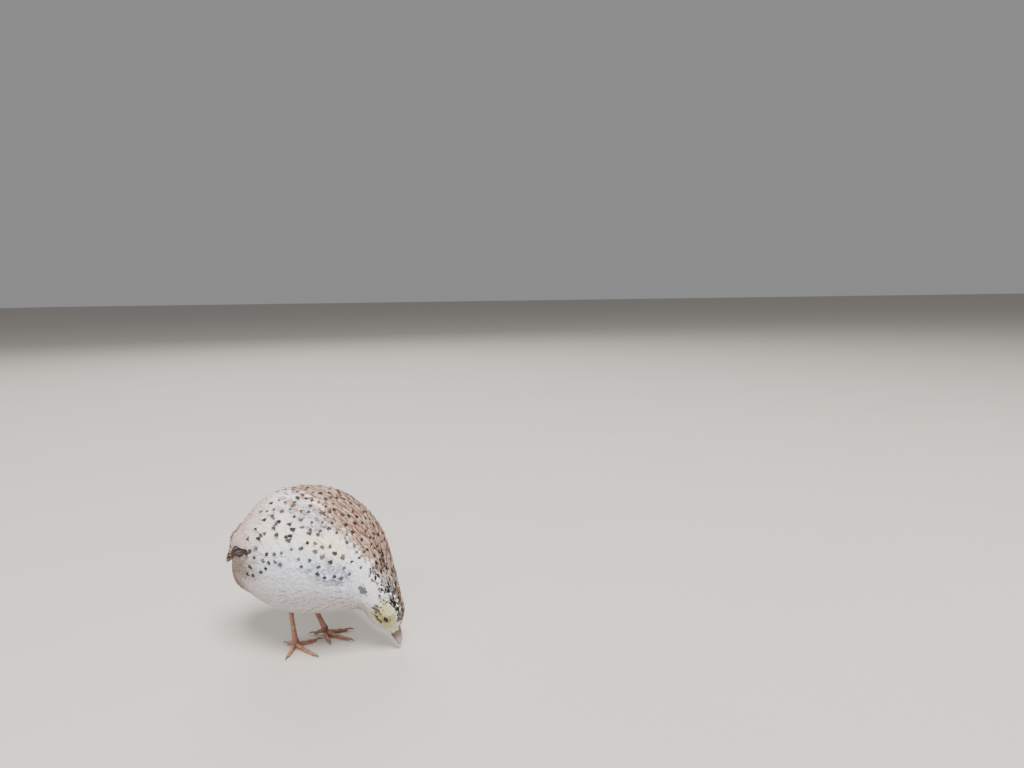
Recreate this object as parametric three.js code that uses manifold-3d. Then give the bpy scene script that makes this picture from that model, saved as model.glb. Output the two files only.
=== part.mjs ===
// Coturnix quail with its head down to peck, at life size, in millimetres with +Z up.
// It faces -Y with its left side towards +X, and stands on the plane Z = 0.

import * as THREE from 'three';
import { mergeVertices } from 'three/addons/utils/BufferGeometryUtils.js';
import Module from 'manifold-3d';

const wasm = await Module();
wasm.setup();

// Driving dimensions
const GAP = 0.3;
const HEAD_PITCH = THREE.MathUtils.degToRad(61);
const EYE = { side: 10.3, forward: 58.5, up: 23.5 };
const EYE_LOOK = { side: 0.96, ahead: 0.24, over: 0.14 };
const EYEBALL = { radius: 3.7, depth: 2.9, faces: [14, 9] };
const LID = { radius: 2.35, thickness: 0.7, squeeze: 0.88, faces: [5, 16] };
const NOSTRIL = { side: 2.75, ahead: 12.4, over: -2.7, slit: [0.9, 1.2, 0.4] };
const NOSTRIL_COVER = { inwards: 0.7, back: 0.2, above: 0.8, radii: [0.9, 1.9, 1] };
const TARSUS = { radius: 1.6, top: 30, narrow: 0.88, flare: 1.2, waist: 0.45, scutes: 15, scute: 0.12 };
const TARSUS_SIDES = 12;
const HUB = [[-0.4, 2.4], [1.6, 2.9], [3.6, 2.5], [5.4, 1.75]];
const FOOT_HEIGHT = HUB[HUB.length - 1][0];
const TOE = { radius: 1.25, root: 1.12, taper: 0.3, joint: 0.09, joints: 3, step: 2.2, sides: 7 };
const TOE_ROOT = { height: 3.1, fall: 2.4, sink: 0.86, hindRise: 1.6 };
const CLAW = { length: 4.5, seat: 0.45, root: 1, tip: 0.2, arch: 0.35, droop: 0.7, lowest: 0.25, steps: 4 };
const RING_SEGMENTS = 34;

// Feet: where each hub stands, how far its leg's top lies ahead, and how far each toe turns out
const FEET = [
  {
    name: 'right',
    side: -1,
    at: [-11.1, -3.3],
    lean: -3,
    headings: { middle: 26, outer: 78, inner: -50, hind: 196 },
  },
  {
    name: 'left',
    side: 1,
    at: [9.8, 5.8],
    lean: -13,
    headings: { middle: -14, outer: 34, inner: -50, hind: 194 },
  },
];
const TOE_LENGTHS = { middle: 20, outer: 14.5, inner: 13.5, hind: 6 };
const TOE_NAMES = Object.keys(TOE_LENGTHS);

// Turns a place given as side, forward and up into the model's axes.
function place(side, forward, up) {
  return new THREE.Vector3(side, -forward, up);
}

// A place on the head: ahead towards the bill tip and over towards the crown, from the eyes' level.
function onHead(side, ahead, over) {
  const forward = EYE.forward + ahead * Math.cos(HEAD_PITCH) + over * Math.sin(HEAD_PITCH);
  const up = EYE.up - ahead * Math.sin(HEAD_PITCH) + over * Math.cos(HEAD_PITCH);
  return place(side, forward, up);
}

// A station of the trunk: its highest and lowest points as forward and up, and its half width.
function trunk(back, keel, half, widest) {
  return { back: place(0, ...back), keel: place(0, ...keel), half, widest };
}

// A station of the skull, measured in the head's own directions.
function skull(back, keel, half, widest) {
  return { back: onHead(0, ...back), keel: onHead(0, ...keel), half, widest };
}

const BODY_STATIONS = [
  trunk([-45.6, 50], [-45.4, 41.5], 5.5, 0.5),
  trunk([-43, 61.5], [-43.6, 35.8], 13.5, 0.48),
  trunk([-39.5, 74.5], [-38.5, 32], 20.5, 0.46),
  trunk([-32.5, 86.5], [-28, 29.5], 28, 0.44),
  trunk([-18.5, 97], [-16, 24.8], 35, 0.43),
  trunk([1, 101], [-2, 21.5], 38.3, 0.43),
  trunk([19, 99], [15, 22.5], 37.4, 0.43),
  trunk([34, 91], [28, 24], 34.2, 0.44),
  trunk([46, 79], [35, 25], 28.8, 0.45),
  trunk([53.3, 66.5], [38, 25.8], 23, 0.46),
  trunk([57.8, 53.5], [39.3, 26], 18.5, 0.48),
  trunk([61.5, 42.5], [40.6, 24.6], 14.5, 0.5),
  skull([-6, 9.4], [-5.7, -15], 12.2, 0.52),
  skull([0, 8], [-0.5, -13.8], 10.8, 0.56),
  skull([4.5, 5.2], [4, -11.3], 8.2, 0.56),
  skull([8, 1.8], [7.5, -9.2], 5.3, 0.55),
  skull([9.6, -0.4], [9.6, -7.9], 3.7, 0.5),
];
const NECK_STATION = 8.6;
const HEAD_STATION = 11;

const TAIL_STATIONS = [
  trunk([-31, 80], [-31, 63], 12, 0.5),
  trunk([-43.5, 74.5], [-38, 59.5], 13, 0.5),
  trunk([-48.8, 66.5], [-43, 56.5], 12.5, 0.5),
  trunk([-50.3, 59.5], [-46.8, 54], 12, 0.5),
  trunk([-50.6, 51.5], [-49.4, 50], 10.5, 0.5),
];

// The bill, as ahead and over: its culmen, the mouth line and the lower edge.
const UPPER_BILL_STATIONS = [
  skull([9.9, -0.5], [9.9, -5.3], 3.4, 0.14),
  skull([12.5, -0.9], [12.5, -5.4], 2.9, 0.14),
  skull([15.5, -2.2], [15.5, -5.6], 2.3, 0.14),
  skull([18.6, -4.2], [18.2, -6.1], 1.4, 0.2),
  skull([20.5, -6.6], [19.9, -6.9], 0.5, 0.5),
];
const LOWER_BILL_STATIONS = [
  skull([9.9, -5.6], [9.9, -7.9], 2.9, 0.85),
  skull([13, -5.75], [13, -7.9], 2.4, 0.85),
  skull([16.5, -6.2], [16.5, -7.6], 1.6, 0.85),
  skull([18.9, -7], [18.9, -7.5], 0.7, 0.6),
];

// The folded wing: the stations it lies between, and how far round its edges reach, in degrees
const WING = { front: 8.5, rear: 1.6, top: [62, 60], topRise: 18, low: [84, 76], lowDrop: 10 };
const WING_EDGE = 0.7;
const WING_BULGE = 0.9;
const WING_BED = 0.5;
const WING_GRID = { rows: 12, columns: 6 };

// Rows of feathers. A row runs from its first vane to its last, each from root to tip, with the
// places on the wing given as along and across, and on the tail as station and degrees.
const WING_ROWS = [
  { count: 4, roots: [[0.64, 0.56], [0.68, 0.86]], tips: [[1, 0.46], [0.99, 0.88]], half: 4.2, rise: [-0.35, 1] },
  { count: 5, roots: [[0.52, 0.3], [0.46, 0.86]], tips: [[0.96, 0.26], [0.86, 0.88]], half: 5.2, rise: [-0.35, 1.9] },
  { count: 2, roots: [[0.48, 0.1], [0.48, 0.24]], tips: [[1.04, 0.12], [0.99, 0.34]], half: 6.4, rise: [-0.35, 2.7] },
  { count: 5, roots: [[0.3, 0.1], [0.28, 0.86]], tips: [[0.66, 0.08], [0.58, 0.9]], half: 5.8, rise: [-0.35, 2.8] },
  { count: 4, roots: [[0.15, 0.22], [0.13, 0.76]], tips: [[0.42, 0.14], [0.36, 0.84]], half: 6, rise: [-0.35, 2.6] },
];
const TAIL_ROWS = [
  { count: 5, roots: [[1.6, -50], [1.6, 50]], tips: [[4, -60], [4, 60]], half: 4.4, rise: [-0.4, 1] },
  { count: 3, roots: [[0.9, -34], [0.9, 34]], tips: [[3, -42], [3, 42]], half: 5.2, rise: [-0.4, 2.1] },
];
const TAIL_CORE_END = 3.2;
const TAIL_ROOM = 2.4;
const VANE_THICKNESS = 0.55;
const VANE_LIFT_OFF = 0.55;
const VANE_CURVE = 42;
const VANE_ROLL = Math.tan(THREE.MathUtils.degToRad(6.5));

// How a vane widens and thins from root to tip: share of length, share of width, share of thickness
// and how far its edges lag behind its shaft, in millimetres.
const VANE_PROFILE = [
  { share: 0, width: 0.4, depth: 1, lag: 0 },
  { share: 0.32, width: 0.86, depth: 1, lag: 0 },
  { share: 0.62, width: 1, depth: 1, lag: 0 },
  { share: 0.86, width: 0.8, depth: 0.8, lag: 0.8 },
  { share: 1, width: 0.34, depth: 0.5, lag: 1.2 },
];

// Blends four neighbouring values smoothly, so that a form passes through its stations.
function smooth(a, b, c, d, t) {
  const slopeB = (c - a) / 2;
  const slopeC = (d - b) / 2;
  const t2 = t * t;
  const t3 = t2 * t;
  return (2 * t3 - 3 * t2 + 1) * b + (t3 - 2 * t2 + t) * slopeB
    + (3 * t2 - 2 * t3) * c + (t3 - t2) * slopeC;
}

// A closed geometry whose faces point outwards, whichever way round they are given.
function closed(points, index) {
  let volume = 0;
  for (let corner = 0; corner < index.length; corner += 3) {
    const [a, b, c] = [0, 1, 2].map((offset) => points[index[corner + offset]]);
    volume += a.dot(b.clone().cross(c));
  }
  const geometry = new THREE.BufferGeometry().setFromPoints(points);
  geometry.setIndex(volume < 0 ? index.reverse() : index);
  return geometry;
}

// A closed surface through rings of points, with a flat fan over each end and its faces outwards.
function loft(rings) {
  const count = rings[0].length;
  const index = [];
  for (let row = 0; row < rings.length - 1; row += 1) {
    for (let step = 0; step < count; step += 1) {
      const next = (step + 1) % count;
      const [a, b] = [row * count + step, row * count + next];
      const [c, d] = [a + count, b + count];
      index.push(a, b, d, a, d, c);
    }
  }
  const points = rings.flat();
  for (const row of [0, rings.length - 1]) {
    const middle = new THREE.Vector3();
    rings[row].forEach((point) => middle.addScaledVector(point, 1 / count));
    for (let step = 0; step < count; step += 1) {
      const edge = [row * count + step, row * count + ((step + 1) % count)];
      index.push(points.length, ...(row === 0 ? edge.reverse() : edge));
    }
    points.push(middle);
  }
  return closed(points, index);
}

// A smooth form through egg-shaped stations, read by station number and by angle from the back.
class Form {
  constructor(stations) {
    this.stations = stations;
    this.last = stations.length - 1;
  }

  read(station, value) {
    const start = Math.min(Math.max(Math.floor(station), 0), this.last - 1);
    const near = (offset) => value(this.stations[Math.min(Math.max(start + offset, 0), this.last)]);
    return smooth(near(-1), near(0), near(1), near(2), station - start);
  }

  section(station) {
    const back = new THREE.Vector3();
    const keel = new THREE.Vector3();
    for (const axis of ['x', 'y', 'z']) {
      back[axis] = this.read(station, (s) => s.back[axis]);
      keel[axis] = this.read(station, (s) => s.keel[axis]);
    }
    const half = this.read(station, (s) => s.half);
    const middle = keel.clone().lerp(back, this.read(station, (s) => s.widest));
    return { back, keel, middle, half };
  }

  point(station, angle) {
    const { back, keel, middle, half } = this.section(station);
    const end = Math.cos(angle) > 0 ? back : keel;
    const point = middle.clone().addScaledVector(end.sub(middle), Math.abs(Math.cos(angle)));
    point.x += half * Math.sin(angle);
    return point;
  }

  normal(station, angle) {
    const step = 0.02;
    const along = this.point(station + step, angle).sub(this.point(station - step, angle));
    const around = this.point(station, angle + step).sub(this.point(station, angle - step));
    const normal = along.cross(around).normalize();
    const outward = this.point(station, angle).sub(this.section(station).middle);
    return normal.dot(outward) < 0 ? normal.negate() : normal;
  }

  lifted(station, angle, lift) {
    return this.point(station, angle).addScaledVector(this.normal(station, angle), lift);
  }

  geometry({ from = 0, to = this.last, perStation = 2, segments = RING_SEGMENTS, lift = 0 } = {}) {
    const rows = Math.ceil((to - from) * perStation);
    const sections = [];
    for (let row = 0; row <= rows; row += 1) {
      const station = THREE.MathUtils.lerp(from, to, row / rows);
      const section = [];
      for (let step = 0; step < segments; step += 1) {
        section.push(this.lifted(station, (2 * Math.PI * step) / segments, lift));
      }
      sections.push(section);
    }
    return loft(sections);
  }
}

const body = new Form(BODY_STATIONS);

// Turns a closed geometry into a solid.
function toSolid(geometry) {
  const bare = new THREE.BufferGeometry();
  bare.setAttribute('position', geometry.attributes.position);
  bare.setIndex(geometry.index);
  const merged = mergeVertices(bare, 1e-5);
  return new wasm.Manifold(new wasm.Mesh({
    numProp: 3,
    vertProperties: Float32Array.from(merged.attributes.position.array),
    triVerts: Uint32Array.from(merged.index.array),
  }));
}

// Turns a solid back into a geometry, keeping its largest closed surface.
function toGeometry(solid) {
  const pieces = solid.decompose().sort((a, b) => b.volume() - a.volume());
  const mesh = pieces[0].getMesh();
  const geometry = new THREE.BufferGeometry();
  geometry.setAttribute('position', new THREE.BufferAttribute(mesh.vertProperties, 3));
  geometry.setIndex(new THREE.BufferAttribute(mesh.triVerts, 1));
  geometry.computeVertexNormals();
  return geometry;
}

// Fuses closed geometries into one solid.
function fuse(geometries) {
  return geometries.map(toSolid).reduce((whole, piece) => whole.add(piece));
}

// A closed shell between an outer and an inner grid of points, split alike on both.
function shell(outer, inner) {
  const rows = outer.length;
  const columns = outer[0].length;
  const at = (side, row, column) => (side * rows + row) * columns + column;
  const index = [];
  const wall = (from, to) => {
    const [outerFrom, outerTo] = [at(0, ...from), at(0, ...to)];
    const [innerFrom, innerTo] = [at(1, ...from), at(1, ...to)];
    index.push(outerTo, outerFrom, innerFrom, outerTo, innerFrom, innerTo);
  };
  for (let row = 0; row < rows - 1; row += 1) {
    for (let column = 0; column < columns - 1; column += 1) {
      for (const side of [0, 1]) {
        const a = at(side, row, column);
        const b = at(side, row + 1, column);
        const c = at(side, row + 1, column + 1);
        const d = at(side, row, column + 1);
        index.push(...(side === 0 ? [a, b, c, a, c, d] : [a, c, b, a, d, c]));
      }
    }
  }
  for (let row = 0; row < rows - 1; row += 1) {
    wall([row, 0], [row + 1, 0]);
    wall([row + 1, columns - 1], [row, columns - 1]);
  }
  for (let column = 0; column < columns - 1; column += 1) {
    wall([rows - 1, column], [rows - 1, column + 1]);
    wall([0, column + 1], [0, column]);
  }
  return closed([...outer.flat(), ...inner.flat()], index);
}

// One vane lying along a surface, which is read as a place for u, v and a height above it.
function vane(surface, { root, tip, half, rise }) {
  const spot = (share, aside = 0, higher = 0) => surface(
    THREE.MathUtils.lerp(root[0], tip[0], share),
    THREE.MathUtils.lerp(root[1], tip[1], share) + aside,
    THREE.MathUtils.lerp(rise[0], rise[1], Math.max(share, 0) ** VANE_LIFT_OFF) + higher,
  );
  const step = 0.02;
  const frames = VANE_PROFILE.map(({ share, width, depth, lag }) => {
    const at = spot(share);
    const along = spot(share + step).sub(spot(share - step)).normalize();
    const out = spot(share, 0, 1).sub(at);
    const across = spot(share, step).sub(at).projectOnPlane(along).normalize();
    out.projectOnPlane(along).projectOnPlane(across).normalize();
    return { at, along, out, across, reach: half * width, depth, lag };
  });
  const grid = (thickness) => frames.map(({ at, along, out, across, reach, depth, lag }) => (
    [-1, 0, 1].map((edge) => {
      const aside = edge * reach;
      const height = aside * VANE_ROLL - (aside * aside) / (2 * VANE_CURVE) - depth * thickness;
      return at.clone().addScaledVector(across, aside).addScaledVector(out, height)
        .addScaledVector(along, -Math.abs(edge) * lag);
    })
  ));
  return shell(grid(0), grid(VANE_THICKNESS));
}

// The vanes of some rows of feathers, each row lying over the one before it.
function vanes(surface, rows) {
  const between = ([first, last], share) => first.map((value, axis) => (
    THREE.MathUtils.lerp(value, last[axis], share)
  ));
  return rows.flatMap(({ count, roots, tips, half, rise }) => (
    Array.from({ length: count }, (_, number) => {
      const share = number / (count - 1);
      return vane(surface, { root: between(roots, share), tip: between(tips, share), half, rise });
    })
  ));
}

// A tapering round rod along a list of points, each with its radius.
function rod(points, segments) {
  const sections = points.map(({ at, radius }, index) => {
    const before = points[Math.max(index - 1, 0)].at;
    const after = points[Math.min(index + 1, points.length - 1)].at;
    const along = after.clone().sub(before).normalize();
    const upward = Math.abs(along.z) > 0.9 ? new THREE.Vector3(0, -1, 0) : new THREE.Vector3(0, 0, 1);
    const side = upward.cross(along).normalize();
    const over = along.clone().cross(side);
    return Array.from({ length: segments }, (_, step) => {
      const angle = (2 * Math.PI * (step + 0.5)) / segments;
      return at.clone()
        .addScaledVector(side, radius * Math.cos(angle))
        .addScaledVector(over, radius * Math.sin(angle));
    });
  });
  return loft(sections);
}

// A ball or an egg of the given radii, set at a place and turned by the given basis.
function ball(centre, radii, turn, faces) {
  const geometry = new THREE.SphereGeometry(1, ...faces);
  geometry.scale(...radii);
  geometry.applyMatrix4(turn);
  geometry.translate(centre.x, centre.y, centre.z);
  return geometry;
}

// A box that fills a slab between two points of the middle plane, to part the body there.
function parting(station) {
  const back = body.point(station, 0);
  const keel = body.point(station, Math.PI);
  const across = back.clone().sub(keel);
  const box = new THREE.BoxGeometry(100, GAP, across.length() + 16);
  box.rotateX(-Math.atan2(across.y, across.z));
  const middle = back.add(keel).multiplyScalar(0.5);
  box.translate(middle.x, middle.y, middle.z);
  return toSolid(box);
}

// Trunk, neck and head: one form parted by thin cuts, ordered from the tail to the bill.
function buildTrunk() {
  const whole = toSolid(body.geometry());
  const parted = whole.subtract(parting(NECK_STATION)).subtract(parting(HEAD_STATION));
  const middle = (solid) => (solid.boundingBox().min[1] + solid.boundingBox().max[1]) / 2;
  return parted.decompose().sort((a, b) => middle(b) - middle(a));
}

const [torso, neck, skullPiece] = buildTrunk();
const trunkClearance = toSolid(body.geometry({ to: HEAD_STATION, lift: GAP }));

// The eye's axis and centre, deeper in the head than its visible disc.
function eyeSeat(side) {
  const level = onHead(0, 0, 0);
  const axis = onHead(side * EYE_LOOK.side, EYE_LOOK.ahead, EYE_LOOK.over).sub(level).normalize();
  const centre = onHead(side * EYE.side, 0, 0).addScaledVector(axis, -EYEBALL.depth);
  const turn = new THREE.Matrix4().lookAt(axis, new THREE.Vector3(), onHead(0, 0, 1).sub(level));
  return { axis, centre, turn };
}

// The rim of both lids, drawn in a little from above and below.
function lid(side) {
  const { axis, centre, turn } = eyeSeat(side);
  const ring = new THREE.TorusGeometry(LID.radius, LID.thickness, ...LID.faces);
  ring.scale(1, LID.squeeze, 1);
  ring.applyMatrix4(turn);
  const seat = centre.clone().addScaledVector(axis, EYEBALL.depth);
  ring.translate(seat.x, seat.y, seat.z);
  return toSolid(ring);
}

function eyeBall(side, radius) {
  return ball(eyeSeat(side).centre, [radius, radius, radius], new THREE.Matrix4(), EYEBALL.faces);
}

function buildHead() {
  return toGeometry([-1, 1].reduce((head, side) => (
    head.add(lid(side)).subtract(toSolid(eyeBall(side, EYEBALL.radius + GAP)))
  ), skullPiece));
}

// The upper bill, with a swelling over each nostril and the slit below it.
function buildUpperBill() {
  let bill = toSolid(new Form(UPPER_BILL_STATIONS).geometry({ perStation: 2, segments: 14 }));
  const turn = new THREE.Matrix4().makeRotationX(HEAD_PITCH);
  const { side: aside, ahead, over, slit } = NOSTRIL;
  const { inwards, back, above, radii } = NOSTRIL_COVER;
  for (const side of [-1, 1]) {
    const cover = onHead(side * (aside - inwards), ahead - back, over + above);
    bill = bill.add(toSolid(ball(cover, radii, turn, [10, 6])));
    bill = bill.subtract(toSolid(ball(onHead(side * aside, ahead, over), slit, turn, [8, 6])));
  }
  return toGeometry(bill);
}

function buildLowerBill() {
  return new Form(LOWER_BILL_STATIONS).geometry({ perStation: 2, segments: 12 });
}

// A place on the folded wing: along from its bend to its tip, and across from its upper edge.
function onWing(side, along, across, lift) {
  const station = THREE.MathUtils.lerp(WING.front, WING.rear, along);
  const spread = Math.sin(Math.PI * THREE.MathUtils.clamp(along, 0, 1)) ** 0.6;
  const top = THREE.MathUtils.lerp(...WING.top, along) - WING.topRise * spread;
  const low = THREE.MathUtils.lerp(...WING.low, along) + WING.lowDrop * spread;
  const angle = THREE.MathUtils.degToRad(THREE.MathUtils.lerp(top, low, across));
  return body.lifted(station, side * angle, lift);
}

// How far the wing's own surface swells above the body at a place on it.
function wingSwell(along, across) {
  const inside = (value) => Math.sin(Math.PI * THREE.MathUtils.clamp(value, 0, 1));
  return WING_EDGE + WING_BULGE * Math.sqrt(inside(along) * inside(across) + 1e-9);
}

// The arm and hand of the folded wing, which the vanes are rooted in.
function wingPad(side) {
  const { rows, columns } = WING_GRID;
  const grid = (height) => Array.from({ length: rows + 1 }, (_, row) => (
    Array.from({ length: columns + 1 }, (__, column) => {
      const [along, across] = [row / rows, column / columns];
      return onWing(side, along, across, WING_BED + height * wingSwell(along, across));
    })
  ));
  return shell(grid(1), grid(0));
}

function buildWing(side) {
  const surface = (along, across, rise) => (
    onWing(side, along, across, WING_BED + wingSwell(along, across) + rise)
  );
  const wing = fuse([wingPad(side), ...vanes(surface, WING_ROWS)]);
  return toGeometry(wing.subtract(trunkClearance).subtract(tailClearance));
}

const tailForm = new Form(TAIL_STATIONS);
const tailClearance = toSolid(tailForm.geometry({ perStation: 3, segments: 20, lift: TAIL_ROOM }));

function buildTail() {
  const core = tailForm.geometry({ to: TAIL_CORE_END, perStation: 2, segments: 20 });
  const surface = (station, degrees, rise) => (
    tailForm.lifted(station, THREE.MathUtils.degToRad(degrees), rise)
  );
  return toGeometry(fuse([core, ...vanes(surface, TAIL_ROWS)]).subtract(trunkClearance));
}

// The bare lower leg, from the foot up into the belly, cut clear of the belly's surface.
function buildTarsus({ at: [side, forward], lean }) {
  const points = Array.from({ length: TARSUS.scutes + 1 }, (_, row) => {
    const rise = row / TARSUS.scutes;
    const bend = Math.max(rise - 1 / TARSUS.scutes, 0);
    const up = THREE.MathUtils.lerp(FOOT_HEIGHT + GAP, TARSUS.top, rise);
    const flare = TARSUS.flare * (rise - TARSUS.waist) ** 2;
    return {
      at: place(side, forward + lean * bend, up),
      radius: TARSUS.radius * (TARSUS.narrow + flare) + (row % 2) * TARSUS.scute,
    };
  });
  return toGeometry(toSolid(rod(points, TARSUS_SIDES)).subtract(trunkClearance));
}

// The line of a toe from the hub: where it goes, its heading and its radius along the way.
function toeLine(foot, toe) {
  const length = TOE_LENGTHS[toe];
  const turned = THREE.MathUtils.degToRad(foot.headings[toe]) * foot.side;
  const heading = place(Math.sin(turned), Math.cos(turned), 0);
  const start = place(...foot.at, TOE_ROOT.height);
  const raised = toe === 'hind' ? TOE_ROOT.hindRise : 0;
  return (distance) => {
    const share = Math.min(distance / length, 1);
    const joints = TOE.joint * Math.cos(2 * Math.PI * TOE.joints * share);
    const radius = TOE.radius * (TOE.root - TOE.taper * share + joints);
    const at = start.clone().addScaledVector(heading, distance);
    const level = TOE_ROOT.sink * radius + raised * (1 - share);
    at.z = THREE.MathUtils.lerp(level, start.z, Math.exp(-distance / TOE_ROOT.fall));
    return { at, radius, heading };
  };
}

// The ground, as a slab under the plane that the bird stands on.
function ground() {
  const depth = 20;
  const box = new THREE.BoxGeometry(10 * depth, 10 * depth, depth);
  box.translate(0, 0, -depth / 2);
  return toSolid(box);
}

function buildFoot(foot) {
  const hub = rod(HUB.map(([up, radius]) => ({ at: place(...foot.at, up), radius })), TARSUS_SIDES);
  const toes = TOE_NAMES.map((toe) => {
    const steps = Math.round(TOE_LENGTHS[toe] / TOE.step);
    const stops = Array.from({ length: steps + 1 }, (_, step) => (TOE_LENGTHS[toe] * step) / steps);
    return rod(stops.map(toeLine(foot, toe)), TOE.sides);
  });
  return toGeometry(fuse([hub, ...toes]).subtract(ground()));
}

function buildClaw(foot, toe) {
  const { at: root, heading } = toeLine(foot, toe)(TOE_LENGTHS[toe]);
  const points = Array.from({ length: CLAW.steps + 1 }, (_, step) => {
    const share = step / CLAW.steps;
    const at = root.clone().addScaledVector(heading, CLAW.seat + CLAW.length * share);
    at.z += CLAW.arch * Math.sin(Math.PI * share) - CLAW.droop * share ** 2;
    at.z = Math.max(at.z, CLAW.lowest);
    return { at, radius: (CLAW.root - CLAW.tip) * (1 - share) ** 0.7 + CLAW.tip };
  });
  return toGeometry(toSolid(rod(points, TOE.sides)).subtract(ground()));
}

const materials = {
  white: new THREE.MeshStandardMaterial({ color: 0xdedbd6, roughness: 0.9 }),
  face: new THREE.MeshStandardMaterial({ color: 0xcfc8a4, roughness: 0.9 }),
  eye: new THREE.MeshStandardMaterial({ color: 0x120d0b, roughness: 0.08 }),
  horn: new THREE.MeshStandardMaterial({ color: 0xcbb5ae, roughness: 0.45 }),
  claw: new THREE.MeshStandardMaterial({ color: 0x8f776a, roughness: 0.4 }),
  leg: new THREE.MeshStandardMaterial({ color: 0xb08472, roughness: 0.6 }),
};

const group = new THREE.Group();

function addPiece(name, geometry, material) {
  const mesh = new THREE.Mesh(geometry, material.clone());
  mesh.name = name;
  group.add(mesh);
}

addPiece('torso', toGeometry(torso), materials.white);
addPiece('neck', toGeometry(neck), materials.white);
addPiece('head', buildHead(), materials.face);
addPiece('bill_upper', buildUpperBill(), materials.horn);
addPiece('bill_lower', buildLowerBill(), materials.horn);
addPiece('tail', buildTail(), materials.white);
for (const foot of FEET) {
  addPiece(`eye_${foot.name}`, eyeBall(foot.side, EYEBALL.radius), materials.eye);
  addPiece(`wing_${foot.name}`, buildWing(foot.side), materials.white);
  addPiece(`tarsus_${foot.name}`, buildTarsus(foot), materials.leg);
  addPiece(`foot_${foot.name}`, buildFoot(foot), materials.leg);
  for (const toe of TOE_NAMES) {
    addPiece(`claw_${foot.name}_${toe}`, buildClaw(foot, toe), materials.claw);
  }
}

// The origin is the middle of the ground that the bird's outline covers.
const bounds = new THREE.Box3().setFromObject(group);
const centre = bounds.getCenter(new THREE.Vector3());
group.position.set(-centre.x, -centre.y, -bounds.min.z);

export default group;
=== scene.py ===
"""Life-size still model of a coturnix quail that stands with its head down to peck."""

import logging
import math
from collections.abc import Callable, Sequence
from dataclasses import dataclass, field
from enum import Enum

import bmesh
import bpy
import numpy as np
from mathutils import Matrix, Vector


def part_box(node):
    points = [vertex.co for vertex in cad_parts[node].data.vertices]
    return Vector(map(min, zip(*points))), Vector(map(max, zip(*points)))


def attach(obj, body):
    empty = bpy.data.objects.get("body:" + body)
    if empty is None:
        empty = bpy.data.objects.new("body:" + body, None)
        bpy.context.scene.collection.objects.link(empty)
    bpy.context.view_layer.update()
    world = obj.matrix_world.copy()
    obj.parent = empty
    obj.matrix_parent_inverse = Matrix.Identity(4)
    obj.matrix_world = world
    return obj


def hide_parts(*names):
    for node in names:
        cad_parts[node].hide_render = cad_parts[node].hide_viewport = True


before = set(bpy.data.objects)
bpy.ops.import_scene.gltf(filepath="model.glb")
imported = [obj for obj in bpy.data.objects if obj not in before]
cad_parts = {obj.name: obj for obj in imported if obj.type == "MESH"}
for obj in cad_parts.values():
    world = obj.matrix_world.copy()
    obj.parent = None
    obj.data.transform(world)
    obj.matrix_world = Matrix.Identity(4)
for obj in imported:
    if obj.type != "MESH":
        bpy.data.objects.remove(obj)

LOG = logging.getLogger("quail")
MM = 0.001
SEED = 20
HEAD_PITCH = math.radians(61)
EYE_SIDE = 10.3
EYE_FORWARD = 58.5
EYE_UP = 23.5
EYE_LOOK = (0.96, 0.24, 0.14)
EYEBALL_RADIUS = 3.7
EYEBALL_DEPTH = 2.9
EYE_CLEARING = 2.25
UNWRAP_PATCH = 0.003
POLE_STATION = -1.25
SHOWN_SHARE = 0.82
LONGEST = 50
BROADEST = 10
SIDES = {"right": -1, "left": 1}

Pair = tuple[float, float]
Triple = tuple[float, float, float]
Field = Callable[[np.ndarray, np.ndarray], np.ndarray]


def place(side: float, forward: float, up: float) -> np.ndarray:
    """Turns a place given as side, forward and up, in millimetres, into the model's axes."""
    return np.array((side, -forward, up), float)


def on_head(side: float, ahead: float, over: float) -> np.ndarray:
    """Finds a place on the head.

    Args:
        side: Distance to the bird's left.
        ahead: Distance from the eyes towards the bill's tip.
        over: Distance from the eyes towards the crown.

    Returns:
        The place in the model's axes, in millimetres.
    """
    sine, cosine = math.sin(HEAD_PITCH), math.cos(HEAD_PITCH)
    return place(side, EYE_FORWARD + ahead * cosine + over * sine, EYE_UP - ahead * sine + over * cosine)


def eye_lie(side: int) -> tuple[np.ndarray, np.ndarray]:
    """Finds how an eyeball lies in the head.

    Args:
        side: 1 for the left eye, -1 for the right.

    Returns:
        The direction in which it looks, and its centre in millimetres.
    """
    look = on_head(side * EYE_LOOK[0], *EYE_LOOK[1:]) - on_head(0, 0, 0)
    axis = look / np.linalg.norm(look)
    return axis, on_head(side * EYE_SIDE, 0, 0) - axis * EYEBALL_DEPTH


def find_shift() -> np.ndarray:
    """Reads from the frame how far the model's origin lies from the point between the feet.

    Returns:
        The shift, in millimetres.
    """
    low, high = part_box("eye_right")
    _, centre = eye_lie(SIDES["right"])
    return np.array((low + high) / 2) / MM - centre


SHIFT = find_shift()


def to_scene(points: np.ndarray) -> np.ndarray:
    """Turns places in millimetres into the scene's metres."""
    return (points + SHIFT) * MM


def linear(red: float, green: float, blue: float) -> np.ndarray:
    """Turns a colour read as 0 to 255 on a screen into light."""
    value = np.array((red, green, blue), float) / 255
    return np.where(value <= 0.04045, value / 12.92, ((value + 0.055) / 1.055) ** 2.4)


def ease(value: np.ndarray, low: float, high: float) -> np.ndarray:
    """Rises smoothly from 0 at low to 1 at high, or falls where high is the lesser."""
    share = np.clip((value - low) / (high - low), 0, 1)
    return share * share * (3 - 2 * share)


def band(value: np.ndarray, start: float, full: float, fading: float, gone: float) -> np.ndarray:
    """Rises smoothly from 0 at start to 1 at full, and falls from 1 at fading to 0 at gone."""
    return ease(value, start, full) * ease(value, gone, fading)


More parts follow.
